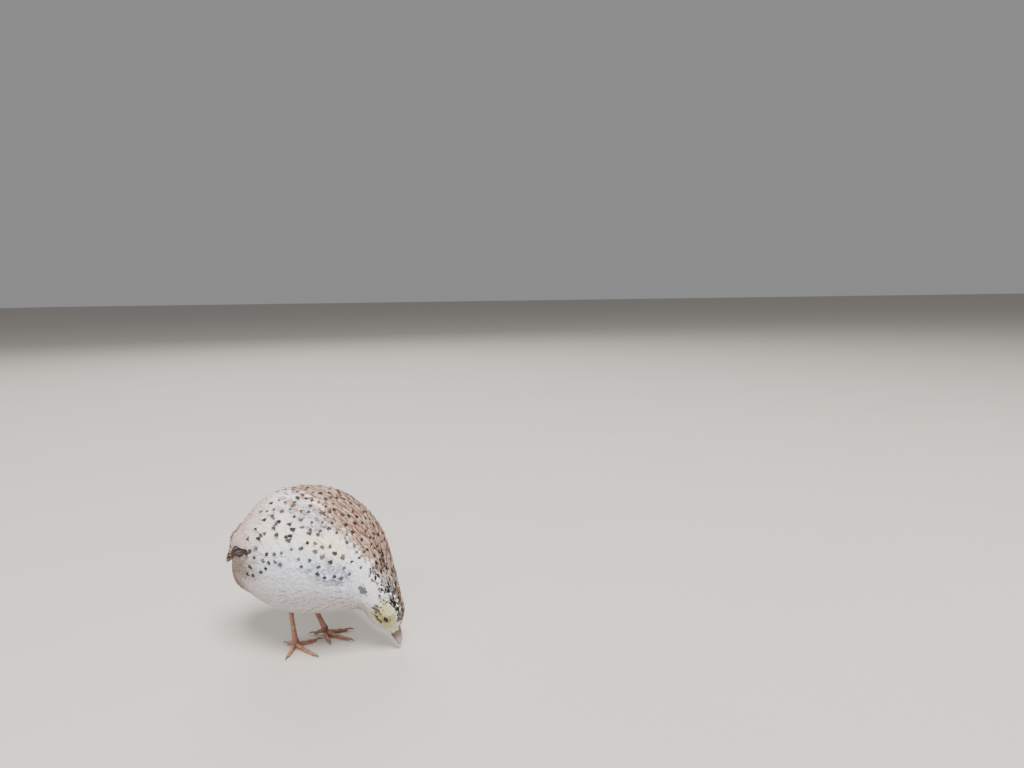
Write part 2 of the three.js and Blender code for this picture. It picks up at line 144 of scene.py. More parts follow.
def blend(ground: np.ndarray, colour: np.ndarray, share: np.ndarray) -> np.ndarray:
    """Mixes a colour into rows of colours by a share for each row."""
    return ground + (colour - ground) * share[:, None]


@dataclass(frozen=True)
class Station:
    """One egg-shaped section of a form: top and lowest point, half width, and where it is widest."""

    back: np.ndarray
    keel: np.ndarray
    half: float
    widest: float


def trunk(back: Sequence[float], keel: Sequence[float], half: float, widest: float) -> Station:
    """Makes a station of the trunk from forward and up pairs."""
    return Station(place(0, *back), place(0, *keel), half, widest)


def skull(back: Sequence[float], keel: Sequence[float], half: float, widest: float) -> Station:
    """Makes a station of the head from ahead and over pairs."""
    return Station(on_head(0, *back), on_head(0, *keel), half, widest)


BODY_STATIONS = (
    trunk((-45.6, 50), (-45.4, 41.5), 5.5, 0.5),
    trunk((-43, 61.5), (-43.6, 35.8), 13.5, 0.48),
    trunk((-39.5, 74.5), (-38.5, 32), 20.5, 0.46),
    trunk((-32.5, 86.5), (-28, 29.5), 28, 0.44),
    trunk((-18.5, 97), (-16, 24.8), 35, 0.43),
    trunk((1, 101), (-2, 21.5), 38.3, 0.43),
    trunk((19, 99), (15, 22.5), 37.4, 0.43),
    trunk((34, 91), (28, 24), 34.2, 0.44),
    trunk((46, 79), (35, 25), 28.8, 0.45),
    trunk((53.3, 66.5), (38, 25.8), 23, 0.46),
    trunk((57.8, 53.5), (39.3, 26), 18.5, 0.48),
    trunk((61.5, 42.5), (40.6, 24.6), 14.5, 0.5),
    skull((-6, 9.4), (-5.7, -15), 12.2, 0.52),
    skull((0, 8), (-0.5, -13.8), 10.8, 0.56),
    skull((4.5, 5.2), (4, -11.3), 8.2, 0.56),
    skull((8, 1.8), (7.5, -9.2), 5.3, 0.55),
    skull((9.6, -0.4), (9.6, -7.9), 3.7, 0.5),
)
TAIL_STATIONS = (
    trunk((-31, 80), (-31, 63), 12, 0.5),
    trunk((-43.5, 74.5), (-38, 59.5), 13, 0.5),
    trunk((-48.8, 66.5), (-43, 56.5), 12.5, 0.5),
    trunk((-50.3, 59.5), (-46.8, 54), 12, 0.5),
    trunk((-50.6, 51.5), (-49.4, 50), 10.5, 0.5),
)
UPPER_BILL_STATIONS = (
    skull((9, -0.3), (9, -5.3), 3.5, 0.14),
    skull((12.5, -0.9), (12.5, -5.4), 2.9, 0.14),
    skull((15.5, -2.2), (15.5, -5.6), 2.3, 0.14),
    skull((18.6, -4.2), (18.2, -6.1), 1.4, 0.2),
    skull((20.5, -6.6), (19.9, -6.9), 0.5, 0.5),
)
LOWER_BILL_STATIONS = (
    skull((9, -5.3), (9, -7.9), 3.0, 0.85),
    skull((13, -5.42), (13, -7.7), 2.35, 0.85),
    skull((16.5, -5.8), (16.5, -7.2), 1.55, 0.85),
    skull((18.9, -6.55), (18.9, -7.15), 0.7, 0.6),
)


class Form:
    """A smooth form through stations, read by station number and by angle from the back."""

    def __init__(self, stations: Sequence[Station]) -> None:
        """Keeps the stations as rows of numbers.

        Args:
            stations: The stations, in order.
        """
        self.last = len(stations) - 1
        self.back = np.array([station.back for station in stations])
        self.keel = np.array([station.keel for station in stations])
        self.half = np.array([[station.half] for station in stations])
        self.widest = np.array([[station.widest] for station in stations])

    def read(self, station: np.ndarray, values: np.ndarray) -> np.ndarray:
        """Blends a value smoothly between stations, and runs on straight past the last ones.

        Args:
            station: The places' stations.
            values: One row of numbers for each station of the form.

        Returns:
            The values at the places.
        """
        held = np.clip(station, 0, self.last)
        start = np.minimum(held.astype(int), self.last - 1)
        share = (held - start)[..., None]
        before, first, second, after = (values[np.clip(start + k, 0, self.last)] for k in (-1, 0, 1, 2))
        rise, fall = (second - before) / 2, (after - first) / 2
        square, cube = share**2, share**3
        value = (2 * cube - 3 * square + 1) * first + (cube - 2 * square + share) * rise
        value = value + (3 * square - 2 * cube) * second + (cube - square) * fall
        slope = (6 * square - 6 * share) * (first - second) + (3 * square - 4 * share + 1) * rise
        slope = slope + (3 * square - 2 * share) * fall
        return value + slope * (station - held)[..., None]

    def middle(self, station: np.ndarray) -> np.ndarray:
        """Finds the middle of each section, at the height where it is widest."""
        keel = self.read(station, self.keel)
        return keel + (self.read(station, self.back) - keel) * self.read(station, self.widest)

    def point(self, station: np.ndarray, angle: np.ndarray) -> np.ndarray:
        """Finds places on the form's surface.

        Args:
            station: The places' stations.
            angle: Their angles from the back, in radians.

        Returns:
            The places, in millimetres.
        """
        middle = self.middle(station)
        upper = (np.cos(angle) > 0)[..., None]
        end = np.where(upper, self.read(station, self.back), self.read(station, self.keel))
        point = middle + (end - middle) * np.abs(np.cos(angle))[..., None]
        point[..., 0] += self.read(station, self.half)[..., 0] * np.sin(angle)
        return point

    def tangents(self, station: np.ndarray, angle: np.ndarray) -> tuple[np.ndarray, np.ndarray]:
        """Finds how the surface runs along the stations and round the section.

        Args:
            station: The places' stations.
            angle: Their angles from the back, in radians.

        Returns:
            The moves for one station and for one radian, in millimetres.
        """
        step = 0.02
        along = self.point(station + step, angle) - self.point(station - step, angle)
        around = self.point(station, angle + step) - self.point(station, angle - step)
        return along / (2 * step), around / (2 * step)

    def normal(self, station: np.ndarray, angle: np.ndarray) -> np.ndarray:
        """Finds the outward direction at places on the surface.

        Args:
            station: The places' stations.
            angle: Their angles from the back, in radians.

        Returns:
            Directions of length 1.
        """
        normal = np.cross(*self.tangents(station, angle))
        normal /= np.linalg.norm(normal, axis=-1, keepdims=True) + 1e-9
        outward = self.point(station, angle) - self.middle(station)
        return np.where((normal * outward).sum(-1, keepdims=True) < 0, -normal, normal)


@dataclass(frozen=True)
class Surface:
    """A form's surface, lowered or raised by a relief, on which skin and feathers lie."""

    form: Form
    relief: Field

    def lifted(self, station: np.ndarray, angle: np.ndarray, lift: np.ndarray | float) -> np.ndarray:
        """Finds places at a height above the surface, in millimetres."""
        height = self.relief(station, angle) + lift
        return self.form.point(station, angle) + self.form.normal(station, angle) * height[..., None]


@dataclass(frozen=True)
class WingPlan:
    """Where the folded wing lies on the trunk, as stations and degrees from the back."""

    front: float = 8.5
    rear: float = 1.6
    top: Pair = (62, 60)
    top_rise: float = 18
    low: Pair = (84, 76)
    low_drop: float = 10
    height: float = 2.6

    def edges(self, along: np.ndarray) -> tuple[np.ndarray, np.ndarray]:
        """Finds the upper and lower edge in degrees at a share of the wing's length.

        Args:
            along: Shares of the wing's length, from the front.

        Returns:
            The degrees of the upper and of the lower edge.
        """
        spread = np.sin(np.pi * np.clip(along, 0, 1)) ** 0.6
        upper = self.top[0] + (self.top[1] - self.top[0]) * along - self.top_rise * spread
        lower = self.low[0] + (self.low[1] - self.low[0]) * along + self.low_drop * spread
        return upper, lower

    def to_body(self, side: int, along: np.ndarray, across: np.ndarray) -> np.ndarray:
        """Turns places on the wing into rows of station and angle on the trunk.

        Args:
            side: 1 for the bird's left, -1 for its right.
            along: Shares of the wing's length, from the front.
            across: Shares of its width, from the upper edge.

        Returns:
            One row for each place.
        """
        upper, lower = self.edges(along)
        degrees = upper + (lower - upper) * across
        return np.stack((self.front + (self.rear - self.front) * along, side * np.radians(degrees)), -1)

    def from_body(self, station: np.ndarray, angle: np.ndarray) -> tuple[np.ndarray, np.ndarray]:
        """Turns places on the trunk into shares along and across the wing.

        Args:
            station: The places' stations.
            angle: Their angles from the back, in radians.

        Returns:
            The shares along and the shares across.
        """
        along = (station - self.front) / (self.rear - self.front)
        upper, lower = self.edges(along)
        return along, (np.degrees(np.abs(angle)) - upper) / (lower - upper)

    def swell(self, station: np.ndarray, angle: np.ndarray) -> np.ndarray:
        """Finds how far the folded wing raises the coat's surface.

        Args:
            station: The places' stations.
            angle: Their angles from the back, in radians.

        Returns:
            The rise, in millimetres.
        """
        along, across = self.from_body(station, angle)
        length = band(along, -0.02, 0.22, 0.7, 1.06)
        return self.height * length * band(across, -0.25, 0.3, 0.7, 1.1)


WING = WingPlan()
BODY = Form(BODY_STATIONS)
TAIL = Form(TAIL_STATIONS)


def coat_depth(station: np.ndarray) -> np.ndarray:
    """Finds how deep the skin lies under the coat's outline, less towards the bill."""
    return 0.26 + 0.36 * ease(station, 14.5, 12) + 0.38 * ease(station, 11.5, 8.5)


def body_relief(station: np.ndarray, angle: np.ndarray) -> np.ndarray:
    """Lowers the skin under the coat and raises it over the folded wings."""
    return WING.swell(station, angle) - coat_depth(station)


def tail_relief(station: np.ndarray, angle: np.ndarray) -> np.ndarray:
    """Lowers the tail's core under its coverts."""
    return -1.0 - 1.2 * ease(station, 1.6, 2.6)


BODY_SURFACE = Surface(BODY, body_relief)
TAIL_SURFACE = Surface(TAIL, tail_relief)


def level(station: np.ndarray, angle: np.ndarray) -> np.ndarray:
    """Leaves a surface as it is."""
    return np.zeros(np.shape(station))


class Hue(Enum):
    """The colours of skin and plumage, as light, among them a painted cool light and some painted shade."""

    WHITE = tuple(linear(238, 235, 237))
    # Painted cool light: the bluish cast of daylight on the breast side.
    COOL_LIGHT_CAST = tuple(linear(206, 212, 228))
    HAZE = tuple(linear(178, 174, 184))
    CREAM = tuple(linear(240, 225, 202))
    RUMP = tuple(linear(196, 172, 160))
    TAN = tuple(linear(130, 98, 84))
    BUFF = tuple(linear(174, 145, 129))
    STREAK = tuple(linear(242, 232, 218))
    # Painted shade: the white underside greyed where it turns from the light.
    BELLY = tuple(linear(192, 184, 184))
    # These two are partly the vent's and undertail's own buff and mauve, and partly painted shade with warm
    # bounce light.
    VENT = tuple(linear(112, 90, 77))
    MAUVE_AND_SHADE = tuple(linear(136, 118, 108))
    FACE = tuple(linear(196, 186, 126))
    OLIVE = tuple(linear(122, 110, 58))
    MEDIAN = tuple(linear(132, 110, 88))
    CHIN = tuple(linear(216, 204, 192))
    EAR = tuple(linear(62, 56, 42))
    CROWN = tuple(linear(34, 29, 28))
    SLATE = tuple(linear(38, 38, 48))
    UMBER = tuple(linear(54, 34, 28))
    GREY = tuple(linear(90, 96, 126))
    FLIGHT = tuple(linear(56, 48, 46))
    BARRED = tuple(linear(78, 52, 42))

    @property
    def light(self) -> np.ndarray:
        """The colour as a row of numbers."""
        return np.array(self.value)


def oval(station: np.ndarray, degrees: np.ndarray, centre: Pair, reach: Pair) -> np.ndarray:
    """Finds how far places lie from an oval's centre, which is 1 at the oval's edge."""
    return np.hypot((station - centre[0]) / reach[0], (degrees - centre[1]) / reach[1])


def blot(station: np.ndarray, degrees: np.ndarray, centre: Pair, reach: Pair) -> np.ndarray:
    """Finds how far places lie inside a soft oval, given as stations and degrees."""
    return ease(oval(station, degrees, centre, reach), 1.0, 0.55)


class Markings:
    """The bird's colours over its trunk and head, the same for the skin and the coat."""

    TAN_EDGE_STATIONS = (4.2, 5.5, 6.35, 7.3, 7.9, 8.6, 9.4)
    TAN_EDGE_DEGREES = (2, 23, 32, 42, 45, 41, 36)
    SPOTTED = (
        ((5.6, 38), (1.55, 19), 4.2, Hue.SLATE),
        ((6.9, 72), (1.35, 15), 4.0, Hue.SLATE),
        ((8.2, 58), (0.6, 16), 4.4, Hue.SLATE),
        ((4.75, 72), (0.8, 12), 3.8, Hue.SLATE),
        ((4.3, 90), (0.5, 7), 4.6, Hue.SLATE),
        ((7.4, 18), (1.8, 28), 3.9, Hue.UMBER),
        ((5.4, 4), (1.2, 16), 5.0, Hue.UMBER),
    )
    CLOUDED = (((6.1, 39), (1.15, 16)), ((7.2, 82), (1.3, 17)))

    def edge(self, station: np.ndarray) -> np.ndarray:
        """Finds how far down from the back's middle the tan reaches, in degrees."""
        return np.interp(station, self.TAN_EDGE_STATIONS, self.TAN_EDGE_DEGREES)

    def ground(self, station: np.ndarray, angle: np.ndarray) -> np.ndarray:
        """Finds the ground colour of places on the trunk and head, with painted cool light on the breast side
        and painted shade on the underside, undertail and vent.

        Args:
            station: The places' stations.
            angle: Their angles from the back, in radians.

        Returns:
            Rows of red, green and blue light.
        """
        degrees = np.degrees(np.abs((angle + np.pi) % (2 * np.pi) - np.pi))
        colour = np.tile(Hue.WHITE.light, (len(station), 1))
        # Painted cool light: a bluish cast over the breast side and flank.
        colour = blend(colour, Hue.COOL_LIGHT_CAST.light, 0.8 * blot(station, degrees, (6.8, 88), (3.0, 34)))
        # Painted shade: the underside greyer and darker the further it turns down.
        colour = blend(colour, Hue.BELLY.light, ease(degrees, 74, 124))
        colour = blend(colour, Hue.CREAM.light, blot(station, degrees, (6.7, 58), (1.2, 14)))
        colour = blend(colour, Hue.CREAM.light, 0.7 * blot(station, degrees, (4.9, 52), (1.3, 16)))
        colour = blend(colour, Hue.HAZE.light, 0.6 * blot(station, degrees, (5.9, 37), (1.5, 19)))
        rear = ease(station, 5.2, 3.4)
        colour = blend(colour, Hue.RUMP.light, rear * ease(degrees, 84, 62))
        # The rear's lower side and vent: partly their own mauve and buff, partly painted shade.
        colour = blend(colour, Hue.MAUVE_AND_SHADE.light, rear * band(degrees, 62, 76, 92, 110))
        colour = blend(colour, Hue.VENT.light, 0.9 * ease(station, 4.1, 2.3) * ease(degrees, 84, 106))
        edge = self.edge(station)
        back = ease(degrees - edge, 7, -5) * band(station, 4.0, 4.8, 9.6, 10.6)
        colour = blend(colour, Hue.TAN.light, back)
        pale = ease(np.abs(degrees - edge - 1), 3.6, 1.4) * band(station, 5.0, 5.6, 6.8, 7.6)
        colour = blend(colour, Hue.STREAK.light, pale)
        colour = blend(colour, Hue.SLATE.light, 0.85 * blot(station, degrees, (9.6, 80), (0.55, 8)))
        return self.head(station, degrees, colour)

    def head(self, station: np.ndarray, degrees: np.ndarray, colour: np.ndarray) -> np.ndarray:
        """Adds the colours of the face and crown to the ground.

        Args:
            station: The places' stations.
            degrees: Their angles from the back, in degrees.
            colour: The colours so far, as rows of light.

        Returns:
            The finished colours.
        """
        face = ease(station, 10.9, 11.8)
        colour = blend(colour, Hue.FACE.light, 0.9 * face * band(degrees, 36, 46, 104, 124))
        colour = blend(colour, Hue.OLIVE.light, 0.5 * blot(station, degrees, (13.2, 50), (0.5, 9)))
        colour = blend(colour, Hue.OLIVE.light, 0.45 * blot(station, degrees, (12.3, 100), (0.8, 12)))
        colour = blend(colour, Hue.CHIN.light, face * ease(degrees, 108, 126))
        colour = blend(colour, Hue.CHIN.light, 0.7 * ease(station, 14.1, 15.2))
        colour = blend(colour, Hue.MEDIAN.light, ease(station, 9.3, 10.2) * ease(degrees, 17, 10))
        return blend(colour, Hue.EAR.light, 0.95 * blot(station, degrees, (11.75, 84), (0.9, 12)))

    def dashes(self, station: np.ndarray, angle: np.ndarray) -> np.ndarray:
        """Finds how likely a head or nape feather has a dark dash.

        Args:
            station: The places' stations.
            angle: Their angles from the back, in radians.

        Returns:
            The chance of a dash, from 0 to 1.
        """
        degrees = np.degrees(np.abs(angle))
        crown = 0.95 * ease(np.abs(degrees - 27), 13, 8) * band(station, 10.2, 11.0, 13.9, 14.5)
        nape = 0.62 * band(degrees, 6, 14, 50, 66) * band(station, 8.6, 9.4, 10.5, 11.2)
        fine = 0.14 * ease(np.abs(degrees - 52), 22, 12) * band(station, 10.2, 11.0, 11.8, 12.6)
        behind = station - 12.6
        cheek = ease(np.abs(degrees - 100 - 5 * behind), 6, 2) * ease(np.abs(behind), 0.9, 0.5)
        median = 0.3 * ease(degrees, 18, 12) * band(station, 8.8, 9.6, 14.0, 14.6)
        return np.clip(crown + nape + fine + median + 0.75 * cheek, 0, 1)


MARKINGS = Markings()


class Value:
    """A shader socket that reads as a number in expressions."""

    def __init__(self, graph: "Graph", socket: bpy.types.NodeSocket) -> None:
        """Wraps one output socket."""
        self.graph = graph
        self.socket = socket

    def math(self, operation: str, other: "Value | float", swapped: bool = False) -> "Value":
        """Adds a Math node on this value and another."""
        first, second = (other, self) if swapped else (self, other)
        return self.graph.value("ShaderNodeMath", {"operation": operation}, {0: first, 1: second})

    def __add__(self, other: "Value | float") -> "Value":
        """Adds."""
        return self.math("ADD", other)

    def __sub__(self, other: "Value | float") -> "Value":
        """Subtracts."""
        return self.math("SUBTRACT", other)

    def __rsub__(self, other: float) -> "Value":
        """Subtracts from a number."""
        return self.math("SUBTRACT", other, swapped=True)

    def __mul__(self, other: "Value | float") -> "Value":
        """Multiplies."""
        return self.math("MULTIPLY", other)

    __radd__ = __add__
    __rmul__ = __mul__

    def __abs__(self) -> "Value":
        """Drops the sign."""
        return self.math("ABSOLUTE", 0.0)

    def ramp(self, low: float, high: float, top: float = 1.0) -> "Value":
        """Rises smoothly from 0 at low to top at high, or falls where high is the lesser.

        Args:
            low: Where the rise starts.
            high: Where it ends.
            top: How high it rises.

        Returns:
            The ramp's value.
        """
        turned = low > high
        ends = {1: min(low, high), 2: max(low, high), 3: top if turned else 0.0, 4: 0.0 if turned else top}
        return self.graph.value("ShaderNodeMapRange", {"interpolation_type": "SMOOTHSTEP"}, {0: self, **ends})


class Graph:
    """The nodes of one material."""

    def __init__(self, name: str) -> None:
        """Starts a material with one surface shader and its output.

        Args:
            name: The material's name.
        """
        self.material = bpy.data.materials.new(name)
        self.material.use_nodes = True
        self.tree = self.material.node_tree
        self.tree.nodes.clear()
        output = self.tree.nodes.new("ShaderNodeOutputMaterial")
        self.shader = self.tree.nodes.new("ShaderNodeBsdfPrincipled")
        self.tree.links.new(self.shader.outputs[0], output.inputs[0])

    def node(self, kind: str, settings: dict[str, object], inputs: dict[int | str, object]) -> bpy.types.Node:
        """Adds a node.

        Args:
            kind: The node's type.
            settings: Its properties, which are set first.
            inputs: Values or sockets for its inputs.

        Returns:
            The new node.
        """
        node = self.tree.nodes.new(kind)
        for key, setting in settings.items():
            setattr(node, key, setting)
        for key, value in inputs.items():
            self.feed(node.inputs[key], value)
        return node

    def feed(self, socket: bpy.types.NodeSocket, value: object) -> None:
        """Links a wrapped value to a socket, or sets the socket itself.

        Args:
            socket: The input.
            value: A wrapped value to link, or the setting itself.
        """
        if isinstance(value, Value):
            self.tree.links.new(value.socket, socket)
        else:
            socket.default_value = value

    def value(
        self, kind: str, settings: dict[str, object], inputs: dict[int | str, object], output: int | str = 0
    ) -> Value:
        """Adds a node and wraps one of its outputs."""
        return Value(self, self.node(kind, settings, inputs).outputs[output])

    def attribute(self, name: str, output: str = "Color") -> Value:
        """Reads an attribute that the piece's mesh carries."""
        return self.value("ShaderNodeAttribute", {"attribute_name": name}, {}, output)

    def split(self, vector: Value) -> tuple[Value, Value, Value]:
        """Parts a vector into its numbers."""
        node = self.node("ShaderNodeSeparateXYZ", {}, {0: vector})
        return tuple(Value(self, node.outputs[axis]) for axis in range(3))

    def join(self, x: "Value | float", y: "Value | float", z: "Value | float") -> Value:
        """Joins three numbers into a vector."""
        return self.value("ShaderNodeCombineXYZ", {}, {0: x, 1: y, 2: z})

    def noise(self, vector: Value, scale: float, detail: float = 2.0, roughness: float = 0.5) -> Value:
        """Adds soft noise from 0 to 1."""
        inputs = {"Vector": vector, "Scale": scale, "Detail": detail, "Roughness": roughness}
        return self.value("ShaderNodeTexNoise", {}, inputs)

    def mix(self, share: "Value | float", first: object, second: object, way: str = "MIX") -> Value:
        """Mixes two colours."""
        settings = {"data_type": "RGBA", "blend_type": way}
        return self.value("ShaderNodeMix", settings, {0: share, 6: first, 7: second}, 2)

    def place(self) -> Value:
        """Reads the object's own coordinates."""
        return self.value("ShaderNodeTexCoord", {}, {}, "Object")

    def bump(self, height: Value, distance: float, strength: float = 1.0) -> None:
        """Roughens the surface by a height."""
        inputs = {"Strength": strength, "Distance": distance, "Height": height}
        self.set("Normal", self.value("ShaderNodeBump", {}, inputs))

    def set(self, name: str, value: object) -> None:
        """Sets or links one input of the surface shader."""
        self.feed(self.shader.inputs[name], value)

    def paint(self, colour: Value, shade: Value) -> None:
        """Sets the base colour, lightened or darkened by a shade."""
        self.set("Base Color", self.mix(1.0, colour, self.join(shade, shade, shade), "MULTIPLY"))


def rgba(colour: np.ndarray) -> tuple[float, float, float, float]:
    """Adds full opacity to a colour."""
    return (*(float(part) for part in colour), 1.0)


@dataclass(frozen=True)
class PlumageFinish:
    """Feathers: barbs, shafts, spots, dashes, bars, clouds, edges and a painted shade towards each root, in
    each vane's own map.
    """

    roughness: float = 0.8
    barbs: float = 1.7
    slant: float = 2.6
    bar_length: float = 3.3
    bow: float = 2.2

    def build(self) -> bpy.types.Material:
        """Builds the material.

        Returns:
            The feather material.
        """
        graph = Graph("plumage")
        across, along, _ = graph.split(graph.value("ShaderNodeUVMap", {"uv_map": "Vane"}, {}))
        seed, size, half = graph.split(graph.attribute("Nature"))
        side = abs(across - 0.5) * 2
        reach = along * size * LONGEST
        flow = graph.join((reach - side * self.slant) * self.barbs, side * 1.2, seed * 90)
        strands = graph.noise(flow, 1.0, 3.0, 0.65)
        wander = graph.noise(graph.join(across * 4, reach * 0.5, seed * 50), 1.0) - 0.5
        fray = wander * 1.1 + (strands - 0.5) * 0.9
        aside = side * half * BROADEST + fray
        short = (1 - along) * size * LONGEST + fray
        colour = self.marked(graph, aside, short, along, side, seed)
        # Barb streaks, and painted shade: each vane darker towards its root, under the feathers that overlap
        # it.
        shade = 0.88 + (strands - 0.5) * 0.9 + along.ramp(0.2, 0.8, 0.12)
        graph.paint(colour, shade)
        graph.set("Roughness", self.roughness)
        graph.set("Specular IOR Level", 0.2)
        graph.bump(strands + side.ramp(0.08, 0.0, 0.7), 0.0002, 0.7)
        return graph.material

    def marked(
        self, graph: Graph, aside: Value, short: Value, along: Value, side: Value, seed: Value
    ) -> Value:
        """Lays the marks of a vane over its ground colour.

        Args:
            graph: The material's nodes.
            aside: Distance from the shaft, in millimetres, frayed.
            short: Distance from the tip, in millimetres, frayed.
            along: Share of the length from the root.
            side: Share of the half width from the shaft.
            seed: The feather's own chance.

        Returns:
            The vane's colour.
        """
        spot, cloud, bars = graph.split(graph.attribute("Pattern"))
        grow = 1.36 - seed * 0.5
        deep = (short + side * side * self.bow - 1.8) * grow * 0.66
        wide = aside * grow * 0.62
        spot_mask = (deep * deep + wide * wide).ramp(1.25, 0.8)
        cloud_mask = short.ramp(0.2, 1.4) * short.ramp(6.0, 3.5) * side.ramp(1.0, 0.4, 0.85)
        angle = (short + side * 1.3) * (math.tau / self.bar_length) + seed * 2
        bar_mask = graph.value("ShaderNodeMath", {"operation": "SINE"}, {0: angle}).ramp(-0.1, 0.35)
        dash_mask = short.ramp(0.0, 0.4) * short.ramp(4.2, 3.4) * aside.ramp(1.1, 0.8)
        dash = graph.attribute("Dash", "Fac") * dash_mask
        mask = spot * spot_mask + cloud * cloud_mask + bars * bar_mask + dash
        shaft = graph.attribute("Nature", "Alpha") * side.ramp(0.2, 0.04) * along.ramp(0.2, 0.5)
        colour = graph.mix(shaft, graph.attribute("Tint"), rgba(Hue.STREAK.light))
        colour = graph.mix(mask, colour, graph.attribute("Ink"))
        inner = (1 - side.ramp(0.66, 0.92)) * (1 - along.ramp(0.88, 0.97))
        edge = graph.attribute("Pattern", "Alpha") * (1 - inner)
        return graph.mix(edge, colour, rgba(Hue.STREAK.light))


@dataclass(frozen=True)
class SkinFinish:
    """The skin and down under the feathers."""

    roughness: float = 0.85

    def build(self) -> bpy.types.Material:
        """Builds the material.

        Returns:
            The finished material.
        """
        graph = Graph("down")
        grain = graph.noise(graph.place(), 900.0, 4.0, 0.6)
        shade = 0.82 + grain * 0.2
        graph.paint(graph.attribute("Tint"), shade)
        graph.set("Roughness", self.roughness)
        graph.bump(grain, 0.0003, 0.6)
        return graph.material


@dataclass(frozen=True)
class HornFinish:
    """Bill or claws: satin horn, darker at the root and streaked along its growth."""

    name: str
    root: Triple
    tip: Triple
    roughness: float = 0.38

    def build(self) -> bpy.types.Material:
        """Builds the material.

        Returns:
            The finished material.
        """
        graph = Graph(self.name)
        share = graph.attribute("Share", "Fac")
        colour = graph.mix(share.ramp(0.1, 0.75), rgba(linear(*self.root)), rgba(linear(*self.tip)))
        mottle = graph.noise(graph.place(), 700.0, 4.0, 0.6)
        streak = graph.noise(graph.join(share * 4, graph.attribute("Round", "Fac") * 18, 0.0), 1.0, 3.0, 0.55)
        shade = 0.8 + mottle * 0.22 + streak * 0.2
        graph.paint(colour, shade)
        graph.set("Roughness", mottle * 0.2 + (self.roughness - 0.1))
        graph.set("Coat Weight", 0.15)
        graph.set("Subsurface Weight", 0.12)
        graph.set("Subsurface Scale", 0.001)
        graph.bump(streak + mottle * 0.5, 0.00008, 0.6)
        return graph.material


@dataclass(frozen=True)
class LegFinish:
    """Bare scaled legs: flesh with darker creases between the scales and dusty paler edges."""

    flesh: Triple = (150, 100, 82)
    crease: Triple = (86, 52, 42)
    pale: Triple = (182, 138, 116)

    def build(self) -> bpy.types.Material:
        """Builds the material.

        Returns:
            The finished material.
        """
        graph = Graph("leg_skin")
        where = graph.place()
        mottle = graph.noise(where, 420.0, 5.0, 0.6)
        inputs = {"Vector": where, "Scale": 1500.0}
        cells = graph.value("ShaderNodeTexVoronoi", {"feature": "DISTANCE_TO_EDGE"}, inputs)
        scale = cells.ramp(0.0, 0.14)
        colour = graph.mix(mottle.ramp(0.35, 0.65), rgba(linear(*self.flesh)), rgba(linear(*self.pale)))
        crease = graph.attribute("Crease", "Fac")
        dark = 1 - (1 - crease) * (0.55 + scale * 0.45)
        graph.set("Base Color", graph.mix(dark * 0.85, colour, rgba(linear(*self.crease))))
        graph.set("Roughness", 0.44 + mottle * 0.22)
        graph.set("Subsurface Weight", 0.15)
        graph.set("Subsurface Scale", 0.0012)
        graph.bump(scale + mottle * 0.6, 0.0001, 0.7)
        return graph.material


@dataclass(frozen=True)
class EyeFinish:
    """The eye: a black pupil in a dark brown iris under a wet surface."""

    pupil: float = 0.42
    iris: float = 0.66

    def build(self) -> bpy.types.Material:
        """Builds the material.

        Returns:
            The finished material.
        """
        graph = Graph("eye")
        reach = graph.attribute("Share", "Fac")
        rays = graph.noise(graph.join(graph.attribute("Round", "Fac") * 40, reach * 3, 0.0), 1.0, 3.0)
        brown = graph.mix(rays.ramp(0.3, 0.7), rgba(linear(16, 9, 7)), rgba(linear(40, 24, 15)))
        colour = graph.mix(reach.ramp(self.pupil - 0.03, self.pupil + 0.03), (0.002, 0.002, 0.002, 1), brown)
        colour = graph.mix(reach.ramp(self.iris - 0.05, self.iris + 0.06), colour, rgba(linear(10, 8, 7)))
        graph.set("Base Color", colour)
        graph.set("Roughness", 0.1 + rays * 0.03)
        graph.set("Specular IOR Level", 0.3)
        graph.set("Coat Weight", 0.3)
        graph.set("Coat Roughness", 0.03)
        return graph.material


@dataclass(frozen=True)
class LidFinish:
    """The bare rim of the lids: fine greyish skin with tiny pits."""

    def build(self) -> bpy.types.Material:
        """Builds the material.

        Returns:
            The finished material.
        """
        graph = Graph("lid")
        grain = graph.noise(graph.place(), 2600.0, 3.0)
        colour = graph.mix(grain.ramp(0.3, 0.7), rgba(linear(96, 86, 56)), rgba(linear(158, 146, 98)))
        graph.set("Base Color", colour)
        graph.set("Roughness", 0.5 + grain * 0.15)
        graph.bump(grain, 0.00008, 0.6)
        return graph.material


def dress(
    piece: bpy.types.Object, material: bpy.types.Material, nodes: Sequence[str] = ()
) -> None:
    """Gives a piece its finish and tells the frame what it is.

    Args:
        piece: The finished piece.
        material: Its finish.
        nodes: CAD nodes that it replaces.
    """
    piece.data.materials.clear()
    piece.data.materials.append(material)
    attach(piece, "root")
    if nodes:
        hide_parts(*nodes)
    LOG.info("%s: %d faces", piece.name, len(piece.data.polygons))


def store(mesh: bpy.types.Mesh, name: str, kind: str, values: np.ndarray) -> None:
    """Stores numbers or colours on a mesh's points.

    Args:
        mesh: The mesh.
        name: The attribute's name.
        kind: FLOAT for numbers, or FLOAT_COLOR for colours.
        values: One number or colour for each point.
    """
    layer = mesh.attributes.new(name, kind, "POINT")
    numbers = np.ascontiguousarray(values, np.float32).ravel()
    layer.data.foreach_set("value" if kind == "FLOAT" else "color", numbers)


def store_run(piece: bpy.types.Object, share: np.ndarray, angle: np.ndarray) -> None:
    """Stores how far along a piece its points lie, and how far round it."""
    store(piece.data, "Share", "FLOAT", share)
    store(piece.data, "Round", "FLOAT", angle / math.tau + 0.5)


